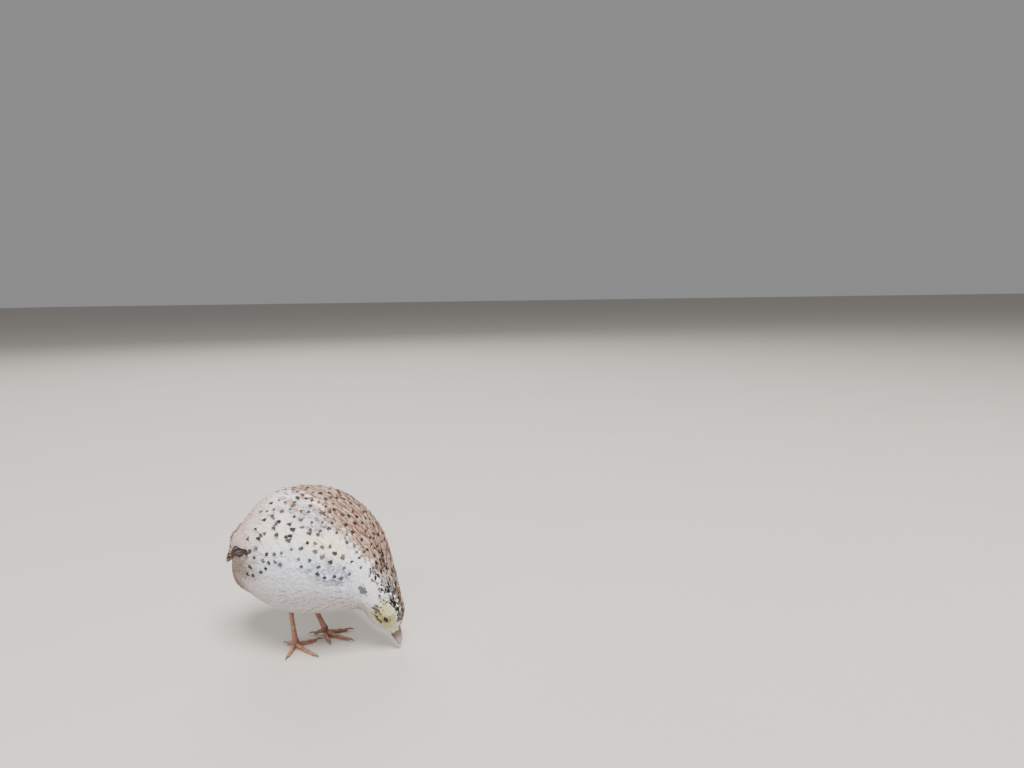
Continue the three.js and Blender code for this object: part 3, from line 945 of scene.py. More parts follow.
def add_object(name: str, data: bpy.types.ID) -> bpy.types.Object:
    """Puts a mesh, a light or a camera in the scene.

    Args:
        name: The object's name.
        data: What it shows or does.

    Returns:
        The object.
    """
    piece = bpy.data.objects.new(name, data)
    bpy.context.scene.collection.objects.link(piece)
    return piece


def to_object(name: str, mesh_maker: bmesh.types.BMesh) -> bpy.types.Object:
    """Turns finished mesh work into a smooth object in the scene.

    Args:
        name: The piece's name.
        mesh_maker: The mesh work, which is freed.

    Returns:
        The object.
    """
    mesh = bpy.data.meshes.new(name)
    mesh_maker.to_mesh(mesh)
    mesh_maker.free()
    mesh.shade_smooth()
    return add_object(name, mesh)


def wrapped(columns: int, rows: int, spot: Field) -> tuple[bmesh.types.BMesh, np.ndarray]:
    """Wraps a sphere's net over a form, so that it is closed, with a pole at either end.

    Args:
        columns: Faces round the form.
        rows: Faces from pole to pole.
        spot: Gives places in millimetres for shares of the length and angles round it.

    Returns:
        The mesh and, for each of its points, its share of the length and its angle.
    """
    maker = bmesh.new()
    bmesh.ops.create_uvsphere(maker, u_segments=columns, v_segments=rows, radius=1.0)
    net = np.array([vertex.co for vertex in maker.verts])
    share = np.arccos(np.clip(net[:, 2], -1, 1)) / np.pi
    angle = np.arctan2(net[:, 1], net[:, 0])
    points = to_scene(spot(share, angle))
    for vertex, point in zip(maker.verts, points):
        vertex.co = point
    bmesh.ops.recalc_face_normals(maker, faces=maker.faces[:])
    return maker, np.stack((share, angle), -1)


def end_cap(share: np.ndarray, rows: int) -> np.ndarray:
    """Finds how open each ring of a wrapped net is, which is 0 only at its poles."""
    return np.clip(np.minimum(share, 1 - share) * rows, 0, 1)


def wrap_form(
    name: str, surface: Surface, columns: int, rows: int, last: float | None = None
) -> tuple[bpy.types.Object, np.ndarray, np.ndarray]:
    """Wraps a skin over a form.

    Args:
        name: The piece's name.
        surface: What it covers.
        columns: Faces round it.
        rows: Faces along it.
        last: The station where it ends, or the form's own last.

    Returns:
        The piece, and the station and angle of each of its points.
    """
    last = last or surface.form.last

    def station_of(share: np.ndarray) -> np.ndarray:
        """Finds the station of each ring of the net, whose poles lie at the form's ends."""
        return np.clip((share - 1 / rows) / (1 - 2 / rows), 0, 1) * last

    def spot(share: np.ndarray, angle: np.ndarray) -> np.ndarray:
        """Finds the piece's points.

        Args:
            share: Shares of the length.
            angle: Angles round it.

        Returns:
            The places, in millimetres.
        """
        station = station_of(share)
        outer = surface.lifted(station, angle, 0.0)
        middle = surface.form.middle(station)
        return middle + (outer - middle) * end_cap(share, rows)[:, None]

    maker, net = wrapped(columns, rows, spot)
    return to_object(name, maker), station_of(net[:, 0]), net[:, 1]


def unwrap(mesh: bpy.types.Mesh, coordinates: np.ndarray, name: str) -> None:
    """Gives a mesh a map from a place for each of its points.

    Args:
        mesh: The mesh.
        coordinates: The place in the map of each point.
        name: The map's name.
    """
    corners = np.zeros(len(mesh.loops), np.int32)
    mesh.loops.foreach_get("vertex_index", corners)
    layer = mesh.uv_layers.new(name=name)
    layer.data.foreach_set("uv", np.ascontiguousarray(coordinates[corners], np.float32).ravel())


def skin_map(form: Form, station: np.ndarray, angle: np.ndarray) -> np.ndarray:
    """Unwraps a form's surface: round it from left to right, and along it from the rear."""
    return np.stack((np.clip(angle / math.tau + 0.5, 0, 1), np.clip(station / form.last, 0, 1)), -1)


@dataclass
class Skin:
    """The skin of trunk, neck and head in one, and the tail's own core."""

    columns: int = 132
    rows: int = 220
    tail_end: float = 2.9

    def build(self, material: bpy.types.Material) -> None:
        """Builds both skins.

        Args:
            material: The finish.
        """
        piece, station, angle = wrap_form("skin", BODY_SURFACE, self.columns, self.rows)
        self.finish(piece, BODY, station, angle, MARKINGS.ground(station, angle))
        dress(piece, material, ("torso", "neck", "head"))
        columns, rows = self.columns // 2, self.rows // 4
        core, station, angle = wrap_form("tail_core", TAIL_SURFACE, columns, rows, self.tail_end)
        self.finish(core, TAIL, station, angle, np.tile(Hue.RUMP.light, (len(station), 1)))
        dress(core, material, ("tail",))

    def finish(
        self, piece: bpy.types.Object, form: Form, station: np.ndarray, angle: np.ndarray, colour: np.ndarray
    ) -> None:
        """Stores a skin's markings and its unwrap."""
        store(piece.data, "Tint", "FLOAT_COLOR", np.concatenate((colour, np.ones((len(colour), 1))), 1))
        unwrap(piece.data, skin_map(form, station, angle), "OFBake")


@dataclass(frozen=True)
class VaneShape:
    """The outline and relief of one kind of feather."""

    columns: int = 8
    rows: int = 5
    root_width: float = 0.45
    widest: float = 0.6
    tip_width: float = 0.72
    rounding: float = 0.3
    fringe: float = 0.05
    thickness: float = 0.13
    camber: float = 0.02
    rise: float = 1.2

    def net(self) -> dict[str, np.ndarray]:
        """Makes one flat closed vane.

        Returns:
            Its points' shares across, along and through, with their columns, and its faces.
        """
        maker = bmesh.new()
        bmesh.ops.create_grid(maker, x_segments=self.columns, y_segments=self.rows, size=1.0)
        bmesh.ops.solidify(maker, geom=maker.faces[:], thickness=1.0)
        bmesh.ops.recalc_face_normals(maker, faces=maker.faces[:])
        points = np.array([vertex.co for vertex in maker.verts])
        faces = np.array([[corner.index for corner in face.verts] for face in maker.faces])
        maker.free()
        level = np.abs(points[:, 2])
        column = np.rint((points[:, 0] + 1) / 2 * self.columns).astype(int)
        return {
            "across": points[:, 0],
            "along": (points[:, 1] + 1) / 2,
            "under": level if points[:, 2].max() > 0.5 else 1 - level,
            "column": column,
            "faces": faces,
        }

    def width(self, along: np.ndarray) -> np.ndarray:
        """Finds the half width, as a share of the widest, along a vane.

        Args:
            along: Shares of the vane's length.

        Returns:
            The half width, which is 1 where the vane is widest.
        """
        opened = np.clip(along / self.widest, 0, 1)
        near = self.root_width + (1 - self.root_width) * np.sin(np.pi / 2 * opened)
        far = np.clip((along - self.widest) / (1 - self.widest), 0, 1)
        return near * np.sqrt(1 - far**2 * (1 - self.tip_width**2))


@dataclass
class Paint:
    """The colours and marks of a batch of feathers, one row for each."""

    tint: np.ndarray
    ink: np.ndarray
    spot: np.ndarray
    cloud: np.ndarray
    bars: np.ndarray
    margin: np.ndarray
    shaft: np.ndarray
    dash: np.ndarray

    @classmethod
    def plain(cls, tint: np.ndarray, ink: Hue) -> "Paint":
        """Makes paint without any marks."""
        count = len(tint)
        return cls(tint, np.tile(ink.light, (count, 1)), *(np.zeros(count) for _ in range(6)))

    def mark(self, name: str, chosen: np.ndarray, ink: Hue, strength: np.ndarray) -> None:
        """Puts one kind of mark, in its own ink, on the chosen feathers."""
        getattr(self, name)[chosen] = strength
        self.ink[chosen] = ink.light

    @property
    def lift(self) -> np.ndarray:
        """How far marked feathers lie over their neighbours, in millimetres."""
        return 0.42 * (self.spot > 0) + 0.14 * (self.dash > 0)


@dataclass
class Plumes:
    """A batch of feathers of one kind, each laid from a root to a tip on a surface."""

    surface: Surface
    shape: VaneShape
    roots: np.ndarray
    tips: np.ndarray
    half: np.ndarray
    low: np.ndarray
    high: np.ndarray
    paint: Paint

    def crosswise(self, places: np.ndarray) -> np.ndarray:
        """Finds the step in station and angle that goes one millimetre across each vane.

        Args:
            places: Rows of station and angle, one for each vane.

        Returns:
            One row of station and angle for each vane.
        """
        station, angle = places[:, 0], places[:, 1]
        along, around = self.surface.form.tangents(station, angle)
        run = self.tips - self.roots
        path = along * run[:, :1] + around * run[:, 1:]
        cross = np.cross(self.surface.form.normal(station, angle), path)
        cross /= np.linalg.norm(cross, axis=1, keepdims=True) + 1e-9
        return solve(along, around, cross)

    def sizes(self) -> np.ndarray:
        """Finds each feather's length from root to tip, in millimetres."""
        form = self.surface.form
        return np.linalg.norm(form.point(*self.tips.T) - form.point(*self.roots.T), axis=1)

    def points(self, net: dict[str, np.ndarray], draw: np.random.Generator) -> np.ndarray:
        """Lays every vane's points on the surface.

        Args:
            net: The flat vane.
            draw: The source of chance.

        Returns:
            Places in the scene, one row of points for each vane.
        """
        count = len(self.roots)
        shape = self.shape
        ragged = draw.random((count, shape.columns + 1))[:, net["column"]]
        along = net["along"][None, :]
        across = net["across"][None, :]
        tipward = np.clip((along - 0.5) / 0.5, 0, 1)
        reach = along * (1 - tipward * (shape.fringe * ragged + shape.rounding * across**2))
        aside = across * shape.width(along) * self.half[:, None]
        first, last = self.crosswise(self.roots), self.crosswise(self.tips)
        step = first[:, None, :] + (last - first)[:, None, :] * reach[..., None]
        run = (self.tips - self.roots)[:, None, :]
        spots = self.roots[:, None, :] + run * reach[..., None] + step * aside[..., None]
        roll = draw.normal(0, 0.03, count)[:, None]
        high = (self.high + self.paint.lift)[:, None]
        lift = self.low[:, None] + (high - self.low[:, None]) * reach**shape.rise
        lift = lift + roll * aside - shape.camber * aside**2 - net["under"] * shape.thickness * (1.15 - reach)
        return to_scene(self.surface.lifted(spots[..., 0], spots[..., 1], lift))

    def lie(self, net: dict[str, np.ndarray]) -> np.ndarray:
        """Finds which way the surface under every vane's points faces, turned round on its underside.

        Args:
            net: The flat vane.

        Returns:
            One direction for each point, vane after vane.
        """
        form = self.surface.form
        first, last = form.normal(*self.roots.T), form.normal(*self.tips.T)
        facing = first[:, None, :] + (last - first)[:, None, :] * net["along"][None, :, None]
        return (facing * (1 - 2 * net["under"])[None, :, None]).reshape(-1, 3)


def solve(along: np.ndarray, around: np.ndarray, move: np.ndarray) -> np.ndarray:
    """Finds the steps in station and angle that make given moves over a surface.

    Args:
        along: How the surface runs along the stations.
        around: How it runs round the section.
        move: The moves, in millimetres.

    Returns:
        Rows of station and angle.
    """
    aa, ab, bb = (along * along).sum(1), (along * around).sum(1), (around * around).sum(1)
    ma, mb = (move * along).sum(1), (move * around).sum(1)
    scale = aa * bb - ab * ab + 1e-6
    return np.stack(((ma * bb - mb * ab) / scale, (mb * aa - ma * ab) / scale), -1)


def soften(mesh: bpy.types.Mesh, lie: np.ndarray, share: float = 0.62) -> None:
    """Turns the shading of vanes towards that of the surface they lie on, as soft plumage shades.

    Args:
        mesh: The joined vanes.
        lie: For each point, the outward direction of the surface under it, or inward on a vane's underside.
        share: How far the shading turns.
    """
    own = np.zeros(len(mesh.vertices) * 3, np.float32)
    mesh.vertex_normals.foreach_get("vector", own)
    mixed = own.reshape(-1, 3) * (1 - share) + lie * share
    mixed /= np.linalg.norm(mixed, axis=1, keepdims=True) + 1e-9
    mesh.normals_split_custom_set_from_vertices(mixed)


@dataclass
class Coat:
    """One piece of coat, joined from batches of feathers."""

    name: str
    batches: list[Plumes] = field(default_factory=list)

    def build(
        self, material: bpy.types.Material, draw: np.random.Generator, nodes: Sequence[str] = ()
    ) -> None:
        """Joins the batches into one piece.

        Args:
            material: The feathers' finish.
            draw: The source of chance.
            nodes: CAD nodes that the piece replaces.
        """
        points, faces, lies, vanes, bakes = [], [], [], [], []
        layers: dict[str, list[np.ndarray]] = {"Tint": [], "Ink": [], "Pattern": [], "Nature": [], "Dash": []}
        total = 0
        for batch in self.batches:
            net, paint = batch.shape.net(), batch.paint
            count, size = len(batch.roots), len(net["across"])
            points.append(batch.points(net, draw).reshape(-1, 3))
            offsets = total + np.arange(count)[:, None, None] * size
            faces.append((net["faces"][None] + offsets).reshape(-1, 4))
            lies.append(batch.lie(net))
            local = np.stack(((net["across"] + 1) / 2, net["along"]), -1)
            vanes.append(np.tile(local, (count, 1)))
            home = skin_map(batch.surface.form, batch.roots[:, 0], batch.roots[:, 1])
            bakes.append((home[:, None, :] + (local[None] - 0.5) * UNWRAP_PATCH).reshape(-1, 2))
            ones = np.ones(count)
            nature = draw.random(count), batch.sizes() / LONGEST, batch.half / BROADEST, paint.shaft
            rows = {
                "Tint": np.column_stack((paint.tint, ones)),
                "Ink": np.column_stack((paint.ink, ones)),
                "Pattern": np.column_stack((paint.spot, paint.cloud, paint.bars, paint.margin)),
                "Nature": np.column_stack(nature),
                "Dash": paint.dash,
            }
            for key, values in rows.items():
                layers[key].append(np.repeat(values, size, 0))
            total += count * size
        piece = self.join(np.concatenate(points), np.concatenate(faces), np.concatenate(lies))
        unwrap(piece.data, np.concatenate(vanes), "Vane")
        unwrap(piece.data, np.concatenate(bakes), "OFBake")
        for key, values in layers.items():
            store(piece.data, key, "FLOAT" if key == "Dash" else "FLOAT_COLOR", np.concatenate(values))
        dress(piece, material, nodes)

    def join(self, points: np.ndarray, faces: np.ndarray, lies: np.ndarray) -> bpy.types.Object:
        """Makes the joined mesh from copies of the vane's net.

        Args:
            points: Places in the scene.
            faces: Rows of four point numbers.
            lies: The direction in which the surface at each point faces.

        Returns:
            The joined piece.
        """
        mesh = bpy.data.meshes.new(self.name)
        mesh.vertices.add(len(points))
        mesh.vertices.foreach_set("co", points.astype(np.float32).ravel())
        mesh.loops.add(faces.size)
        mesh.loops.foreach_set("vertex_index", faces.astype(np.int32).ravel())
        mesh.polygons.add(len(faces))
        mesh.polygons.foreach_set("loop_start", np.arange(0, faces.size, 4, dtype=np.int32))
        mesh.update(calc_edges=True)
        mesh.shade_smooth()
        soften(mesh, lies)
        return add_object(self.name, mesh)


Painter = Callable[[np.ndarray, np.ndarray, np.random.Generator], Paint]


def thin_out(points: np.ndarray, spacing: float) -> list[int]:
    """Picks, in order, the places that keep their distance from those picked before.

    Args:
        points: Places in millimetres.
        spacing: The least distance.

    Returns:
        The numbers of the picked places.
    """
    cells: dict[tuple[int, int, int], list[int]] = {}
    kept = []
    keys = np.floor(points / spacing).astype(int)
    for index, (key, point) in enumerate(zip(map(tuple, keys), points)):
        near = (
            other
            for dx in (-1, 0, 1)
            for dy in (-1, 0, 1)
            for dz in (-1, 0, 1)
            for other in cells.get((key[0] + dx, key[1] + dy, key[2] + dz), ())
        )
        if all(((points[other] - point) ** 2).sum() >= spacing**2 for other in near):
            cells.setdefault(key, []).append(index)
            kept.append(index)
    return kept


@dataclass(frozen=True)
class Tract:
    """A tract of small feathers: where they grow and how large they are, in millimetres."""

    stations: Pair
    degrees: Pair
    spacing: float
    length: float
    half: float
    low: float
    high: float
    shape: VaneShape
    sweep: float = 0.0
    keep: Field | None = None
    closing: bool = False

    def roots(self, surface: Surface, draw: np.random.Generator) -> np.ndarray:
        """Scatters roots evenly over the tract on both sides.

        Args:
            surface: What the feathers grow on.
            draw: The source of chance.

        Returns:
            Rows of station and angle.
        """
        tries = 45000
        station = draw.uniform(*self.stations, tries)
        angle = np.radians(draw.uniform(*self.degrees, tries)) * draw.choice((-1, 1), tries)
        along, around = surface.form.tangents(station, angle)
        area = np.linalg.norm(np.cross(along, around), axis=1)
        chosen = draw.random(tries) < area / area.max()
        if self.keep is not None:
            chosen &= self.keep(station, angle)
        station, angle = station[chosen], angle[chosen]
        kept = thin_out(surface.lifted(station, angle, 0.0), self.spacing)
        return np.stack((station[kept], angle[kept]), -1)

    def plumes(self, surface: Surface, draw: np.random.Generator, paint: Painter) -> Plumes:
        """Grows the tract's feathers.

        Args:
            surface: What they grow on.
            draw: The source of chance.
            paint: Colours and marks feathers by their roots and tips.

        Returns:
            The batch of feathers.
        """
        roots = self.roots(surface, draw)
        count = len(roots)
        station, angle = roots[:, 0], roots[:, 1]
        along, around = surface.form.tangents(station, angle)
        normal = surface.form.normal(station, angle)
        rearward = -along / np.linalg.norm(along, axis=1, keepdims=True)
        sideways = np.cross(normal, rearward)
        downward = np.where((sideways * around).sum(1) * angle > 0, 1.0, -1.0)
        turn = self.sweep * downward + draw.normal(0, 0.12, count)
        heading = rearward * np.cos(turn)[:, None] + sideways * np.sin(turn)[:, None]
        length = self.length * draw.normal(1, 0.08, count)
        if self.closing:
            end = surface.form.point(np.full(count, POLE_STATION), angle)
            room = np.linalg.norm(surface.form.point(station, angle) - end, axis=1)
            length = np.minimum(length, 0.5 + 0.96 * room)
        tips = roots + solve(along, around, heading) * length[:, None]
        half = self.half * draw.normal(1, 0.08, count)
        high = self.high + draw.normal(0, 0.05, count)
        low = np.full(count, self.low)
        return Plumes(surface, self.shape, roots, tips, half, low, high, paint(roots, tips, draw))


def jitter(colour: np.ndarray, draw: np.random.Generator, amount: float = 0.04) -> np.ndarray:
    """Varies the brightness of each feather a little."""
    return np.clip(colour * draw.normal(1, amount, (len(colour), 1)), 0, 1)


def visible(roots: np.ndarray, tips: np.ndarray) -> tuple[np.ndarray, np.ndarray]:
    """Finds the station and angle of the part of each feather that shows."""
    shown = roots + (tips - roots) * SHOWN_SHARE
    return shown[:, 0], shown[:, 1]


def paint_body(roots: np.ndarray, tips: np.ndarray, draw: np.random.Generator) -> Paint:
    """Gives body feathers the bird's ground colour, spots, dashes, clouds and pale shafts.

    Args:
        roots: Where the feathers grow, as rows of station and angle.
        tips: Where they end, in the same way.
        draw: The source of chance.

    Returns:
        The feathers' paint.
    """
    station, angle = visible(roots, tips)
    degrees = np.degrees(np.abs(angle))
    count = len(roots)
    loose = station + draw.normal(0, 0.1, count), angle + draw.normal(0, 0.06, count)
    paint = Paint.plain(jitter(MARKINGS.ground(*loose), draw), Hue.SLATE)
    back = ease(degrees, 48, 38) * band(station, 4.2, 5.0, 9.6, 11)
    pale = draw.random(count) < 0.34 * back
    paint.tint[pale] = jitter(np.tile(Hue.BUFF.light, (int(pale.sum()), 1)), draw)
    paint.shaft = 0.12 + 0.34 * back
    places = BODY.point(station, angle)
    for centre, reach, spacing, hue in MARKINGS.SPOTTED:
        inside = oval(station, degrees, centre, reach) < 1
        order = draw.permutation(np.flatnonzero(inside))
        taken = order[thin_out(places[order], spacing)]
        taken = taken[draw.random(len(taken)) < 0.86]
        paint.mark("spot", taken, hue, draw.uniform(0.85, 1.0, len(taken)))
    beyond = degrees - MARKINGS.edge(station)
    paint.ink[beyond < 0] = Hue.UMBER.light
    free = paint.spot == 0
    for centre, reach in MARKINGS.CLOUDED:
        clouded = free & (beyond > 2) & (draw.random(count) < 0.85 * blot(station, degrees, centre, reach))
        paint.mark("cloud", clouded, Hue.GREY, draw.uniform(0.4, 1.0, clouded.sum()))
    mottled = free & (draw.random(count) < 0.3 * back)
    paint.mark("cloud", mottled, Hue.UMBER, draw.uniform(0.12, 0.4, mottled.sum()))
    dark = free & (draw.random(count) < MARKINGS.dashes(station, angle))
    paint.mark("dash", dark, Hue.CROWN, draw.uniform(0.8, 1.0, dark.sum()))
    deep = dark & (station > 10.6) & (degrees < 44) & (degrees > 16) & (draw.random(count) < 0.5)
    paint.tint[deep] = Hue.CROWN.light
    return paint


def paint_tail(roots: np.ndarray, tips: np.ndarray, draw: np.random.Generator) -> Paint:
    """Gives the tail's coverts their pale ground.

    Args:
        roots: Where the feathers grow, as rows of station and angle.
        tips: Not used.
        draw: The source of chance.

    Returns:
        The feathers' paint.
    """
    degrees = np.degrees(np.abs(roots[:, 1]))[:, None]
    # The lower coverts turn mauve: partly their own colour, partly painted shade.
    colour = Hue.RUMP.light + (Hue.MAUVE_AND_SHADE.light - Hue.RUMP.light) * ease(degrees, 80, 110)
    paint = Paint.plain(jitter(colour, draw), Hue.UMBER)
    paint.shaft[:] = 0.15
    marked = draw.random(len(roots)) < 0.1
    paint.cloud[marked] = 0.35
    return paint


def paint_bill_base(roots: np.ndarray, tips: np.ndarray, draw: np.random.Generator) -> Paint:
    """Gives the short feathers at the bill's base the colours of forehead, lores and chin.

    Args:
        roots: Where the feathers grow, as rows of station and angle.
        tips: Not used.
        draw: The source of chance.

    Returns:
        The feathers' paint.
    """
    degrees = np.degrees(np.abs(roots[:, 1]))[:, None]
    colour = Hue.MEDIAN.light + (Hue.CHIN.light - Hue.MEDIAN.light) * ease(degrees, 14, 40)
    return Paint.plain(jitter(colour, draw, 0.06), Hue.OLIVE)


def clear_of_tail(station: np.ndarray, angle: np.ndarray) -> np.ndarray:
    """Keeps body feathers off the place where the tail grows."""
    return (station > 2.5) | (np.degrees(np.abs(angle)) > 42 + 8 * (2.5 - station))


def clear_of_wing(station: np.ndarray, angle: np.ndarray) -> np.ndarray:
    """Keeps body feathers off the folded wing behind its foremost coverts.

    Args:
        station: The places' stations.
        angle: Their angles from the back, in radians.

    Returns:
        True where feathers may grow.
    """
    along, across = WING.from_body(station, angle)
    long = (along > 0.34) & (along < 1.0) & (across > -0.02) & (across < 0.56)
    dark = (along > 0.59) & (along < 0.94) & (across > 0.4) & (across < 0.79)
    return ~(long | dark)


def clear_of_both(station: np.ndarray, angle: np.ndarray) -> np.ndarray:
    """Keeps back feathers off both the tail and the wings."""
    return clear_of_tail(station, angle) & clear_of_wing(station, angle)


def clear_of_eye(station: np.ndarray, angle: np.ndarray) -> np.ndarray:
    """Keeps feathers off the eyes and their lids.

    Args:
        station: The places' stations.
        angle: Their angles from the back, in radians.

    Returns:
        True where feathers may grow.
    """
    point = BODY.point(station, angle)
    point[:, 0] = np.abs(point[:, 0])
    return np.linalg.norm(point - on_head(EYE_SIDE, 0, 0), axis=1) > EYE_CLEARING


CONTOUR = VaneShape(fringe=0.1, rounding=0.34, thickness=0.1)
SOFT = VaneShape(fringe=0.16, root_width=0.5, tip_width=0.66, thickness=0.1)
SMALL = VaneShape(columns=6, rows=4, fringe=0.08, thickness=0.09)
TINY = VaneShape(columns=4, rows=3, fringe=0.1, thickness=0.07, tip_width=0.6)
COVERT = VaneShape(columns=10, rows=7, fringe=0.045, rounding=0.3, thickness=0.12)
LONG = VaneShape(
    columns=10, rows=16, root_width=0.5, widest=0.5, tip_width=0.6,
    rounding=0.1, fringe=0.012, thickness=0.16, rise=0.7,
)


@dataclass
class BodyPlumage:
    """The small feathers of trunk, neck, head and the bill's base."""

    tracts: dict[str, Tract] = field(
        default_factory=lambda: {
            "coat_mantle": Tract((5.6, 9), (0, 52), 1.85, 8.6, 2.4, -0.1, 1.0, CONTOUR, keep=clear_of_both),
            "coat_back": Tract((1.2, 5.6), (0, 52), 1.9, 8.6, 2.5, -0.1, 1.0, CONTOUR, keep=clear_of_both),
            "coat_breast": Tract(
                (5.6, 9), (52, 100), 1.85, 8.6, 2.4, -0.1, 1.0, CONTOUR, 0.16, clear_of_wing
            ),
            "coat_flank": Tract(
                (0.4, 5.6), (52, 100), 1.9, 8.6, 2.5, -0.1, 1.0, CONTOUR, 0.16, clear_of_wing, True
            ),
            "coat_belly": Tract((4.6, 9.3), (100, 180), 2.0, 8.6, 2.4, -0.1, 1.0, SOFT),
            "coat_vent": Tract((0.1, 4.6), (100, 180), 2.0, 8.6, 2.5, -0.1, 1.0, SOFT, closing=True),
            "coat_neck": Tract((8.8, 11.4), (0, 180), 1.45, 6.0, 1.6, -0.1, 0.75, SMALL),
            "coat_head": Tract((11.2, 15.9), (0, 180), 0.9, 3.2, 0.9, -0.1, 0.42, TINY, keep=clear_of_eye),
        }
    )
    under_tail: Tract = Tract((0.05, 1.4), (0, 60), 1.9, 8.6, 2.5, -0.1, 1.0, SOFT, closing=True)
    upper_base: Tract = Tract((0.04, 0.72), (0, 112), 0.62, 2.1, 0.55, -0.1, 0.32, TINY)
    lower_base: Tract = Tract((0.04, 0.66), (66, 180), 0.62, 2.1, 0.55, -0.1, 0.32, TINY)

    def build(self, material: bpy.types.Material) -> None:
        """Grows every tract as one piece of coat.

        Args:
            material: The finish.
        """
        for number, (name, tract) in enumerate(self.tracts.items()):
            draw = np.random.default_rng(SEED + number)
            batches = [tract.plumes(BODY_SURFACE, draw, paint_body)]
            if name == "coat_vent":
                batches.append(self.under_tail.plumes(BODY_SURFACE, draw, paint_body))
            if name == "coat_head":
                bases = (self.upper_base, UPPER_BILL_STATIONS), (self.lower_base, LOWER_BILL_STATIONS)
                for base, stations in bases:
                    batches.append(base.plumes(Surface(Form(stations), level), draw, paint_bill_base))
            Coat(name, batches).build(material, draw)


@dataclass(frozen=True)
class Rank:
    """One rank of large feathers, from its first to its last, each from root to tip."""

    count: int
    roots: tuple[Pair, Pair]
    tips: tuple[Pair, Pair]
    half: float
    high: float
    shape: VaneShape
    spotted: float = 0.0
    dark: bool = False

    def spread(self, ends: tuple[Pair, Pair]) -> np.ndarray:
        """Spaces the rank's places between its first and its last."""
        share = np.linspace(0, 1, self.count)[:, None]
        return np.array(ends[0]) + (np.array(ends[1]) - np.array(ends[0])) * share


class Flight(Enum):
    """The ranks of the folded wing, with places given as shares along and across it."""

    PRIMARIES = Rank(6, ((0.6, 0.46), (0.6, 0.66)), ((0.99, 0.36), (0.9, 0.74)), 3.7, 0.95, LONG, dark=True)
    SECONDARIES = Rank(9, ((0.54, 0.14), (0.52, 0.46)), ((0.94, 0.18), (0.74, 0.46)), 3.9, 1.35, LONG)
    TERTIALS = Rank(5, ((0.5, -0.04), (0.52, 0.18)), ((1.0, 0.02), (0.9, 0.24)), 4.4, 1.5, LONG)
    GREATER_COVERTS = Rank(
        14, ((0.51, 0.0), (0.49, 0.57)), ((0.71, 0.02), (0.66, 0.54)), 3.2, 1.35, COVERT, 0.12
    )
    MEDIAN_COVERTS = Rank(
        15, ((0.43, 0.02), (0.42, 0.58)), ((0.61, 0.03), (0.57, 0.56)), 2.9, 1.35, COVERT, 0.28
    )
    LESSER_COVERTS = Rank(
        15, ((0.36, 0.0), (0.35, 0.6)), ((0.52, 0.01), (0.49, 0.57)), 2.8, 1.35, COVERT, 0.34
    )
    FOREMOST_COVERTS = Rank(
        15, ((0.29, 0.02), (0.29, 0.6)), ((0.44, 0.03), (0.42, 0.58)), 2.7, 1.3, COVERT, 0.3
    )


@dataclass
class Wings:
    """Both folded wings: flight feathers and coverts in ranks over the swell of the wing."""

    def build(self, material: bpy.types.Material) -> None:
        """Builds each wing as one piece.

        Args:
            material: The finish.
        """
        for name, side in SIDES.items():
            draw = np.random.default_rng(SEED + 40 + side)
            batches = [self.rank(flight.value, side, draw) for flight in Flight]
            Coat(f"wing_feathers_{name}", batches).build(material, draw, (f"wing_{name}",))

    def rank(self, rank: Rank, side: int, draw: np.random.Generator) -> Plumes:
        """Lays one rank on one wing.

        Args:
            rank: The rank of feathers.
            side: 1 for the bird's left, -1 for its right.
            draw: The source of chance.

        Returns:
            The rank's feathers.
        """
        count = rank.count
        root = rank.spread(rank.roots) + draw.normal(0, 0.006, (count, 2))
        loose = (0.022, 0.012) if rank.shape is COVERT else (0.008, 0.008)
        tip = rank.spread(rank.tips) + draw.normal(0, loose, (count, 2))
        roots = WING.to_body(side, root[:, 0], root[:, 1])
        tips = WING.to_body(side, tip[:, 0], tip[:, 1])
        tint = MARKINGS.ground(*visible(roots, tips))
        if rank.dark:
            tint = np.tile(Hue.FLIGHT.light, (count, 1))
        paint = Paint.plain(jitter(tint, draw), Hue.SLATE)
        spotted = draw.random(count) < rank.spotted
        paint.spot[spotted] = draw.uniform(0.9, 1.0, spotted.sum())
        if rank.shape is LONG and not rank.dark:
            paint.mark("cloud", np.arange(count), Hue.GREY, draw.uniform(0.0, 0.22, count))
        paint.shaft[:] = 0.16 if rank.dark else 0.3
        layers = np.linspace(0.25, -0.25, count) + draw.normal(0, 0.07, count)
        half, low = np.full(count, rank.half), np.full(count, 0.1 if rank.dark else 0.0)
        return Plumes(BODY_SURFACE, rank.shape, roots, tips, half, low, rank.high + layers, paint)


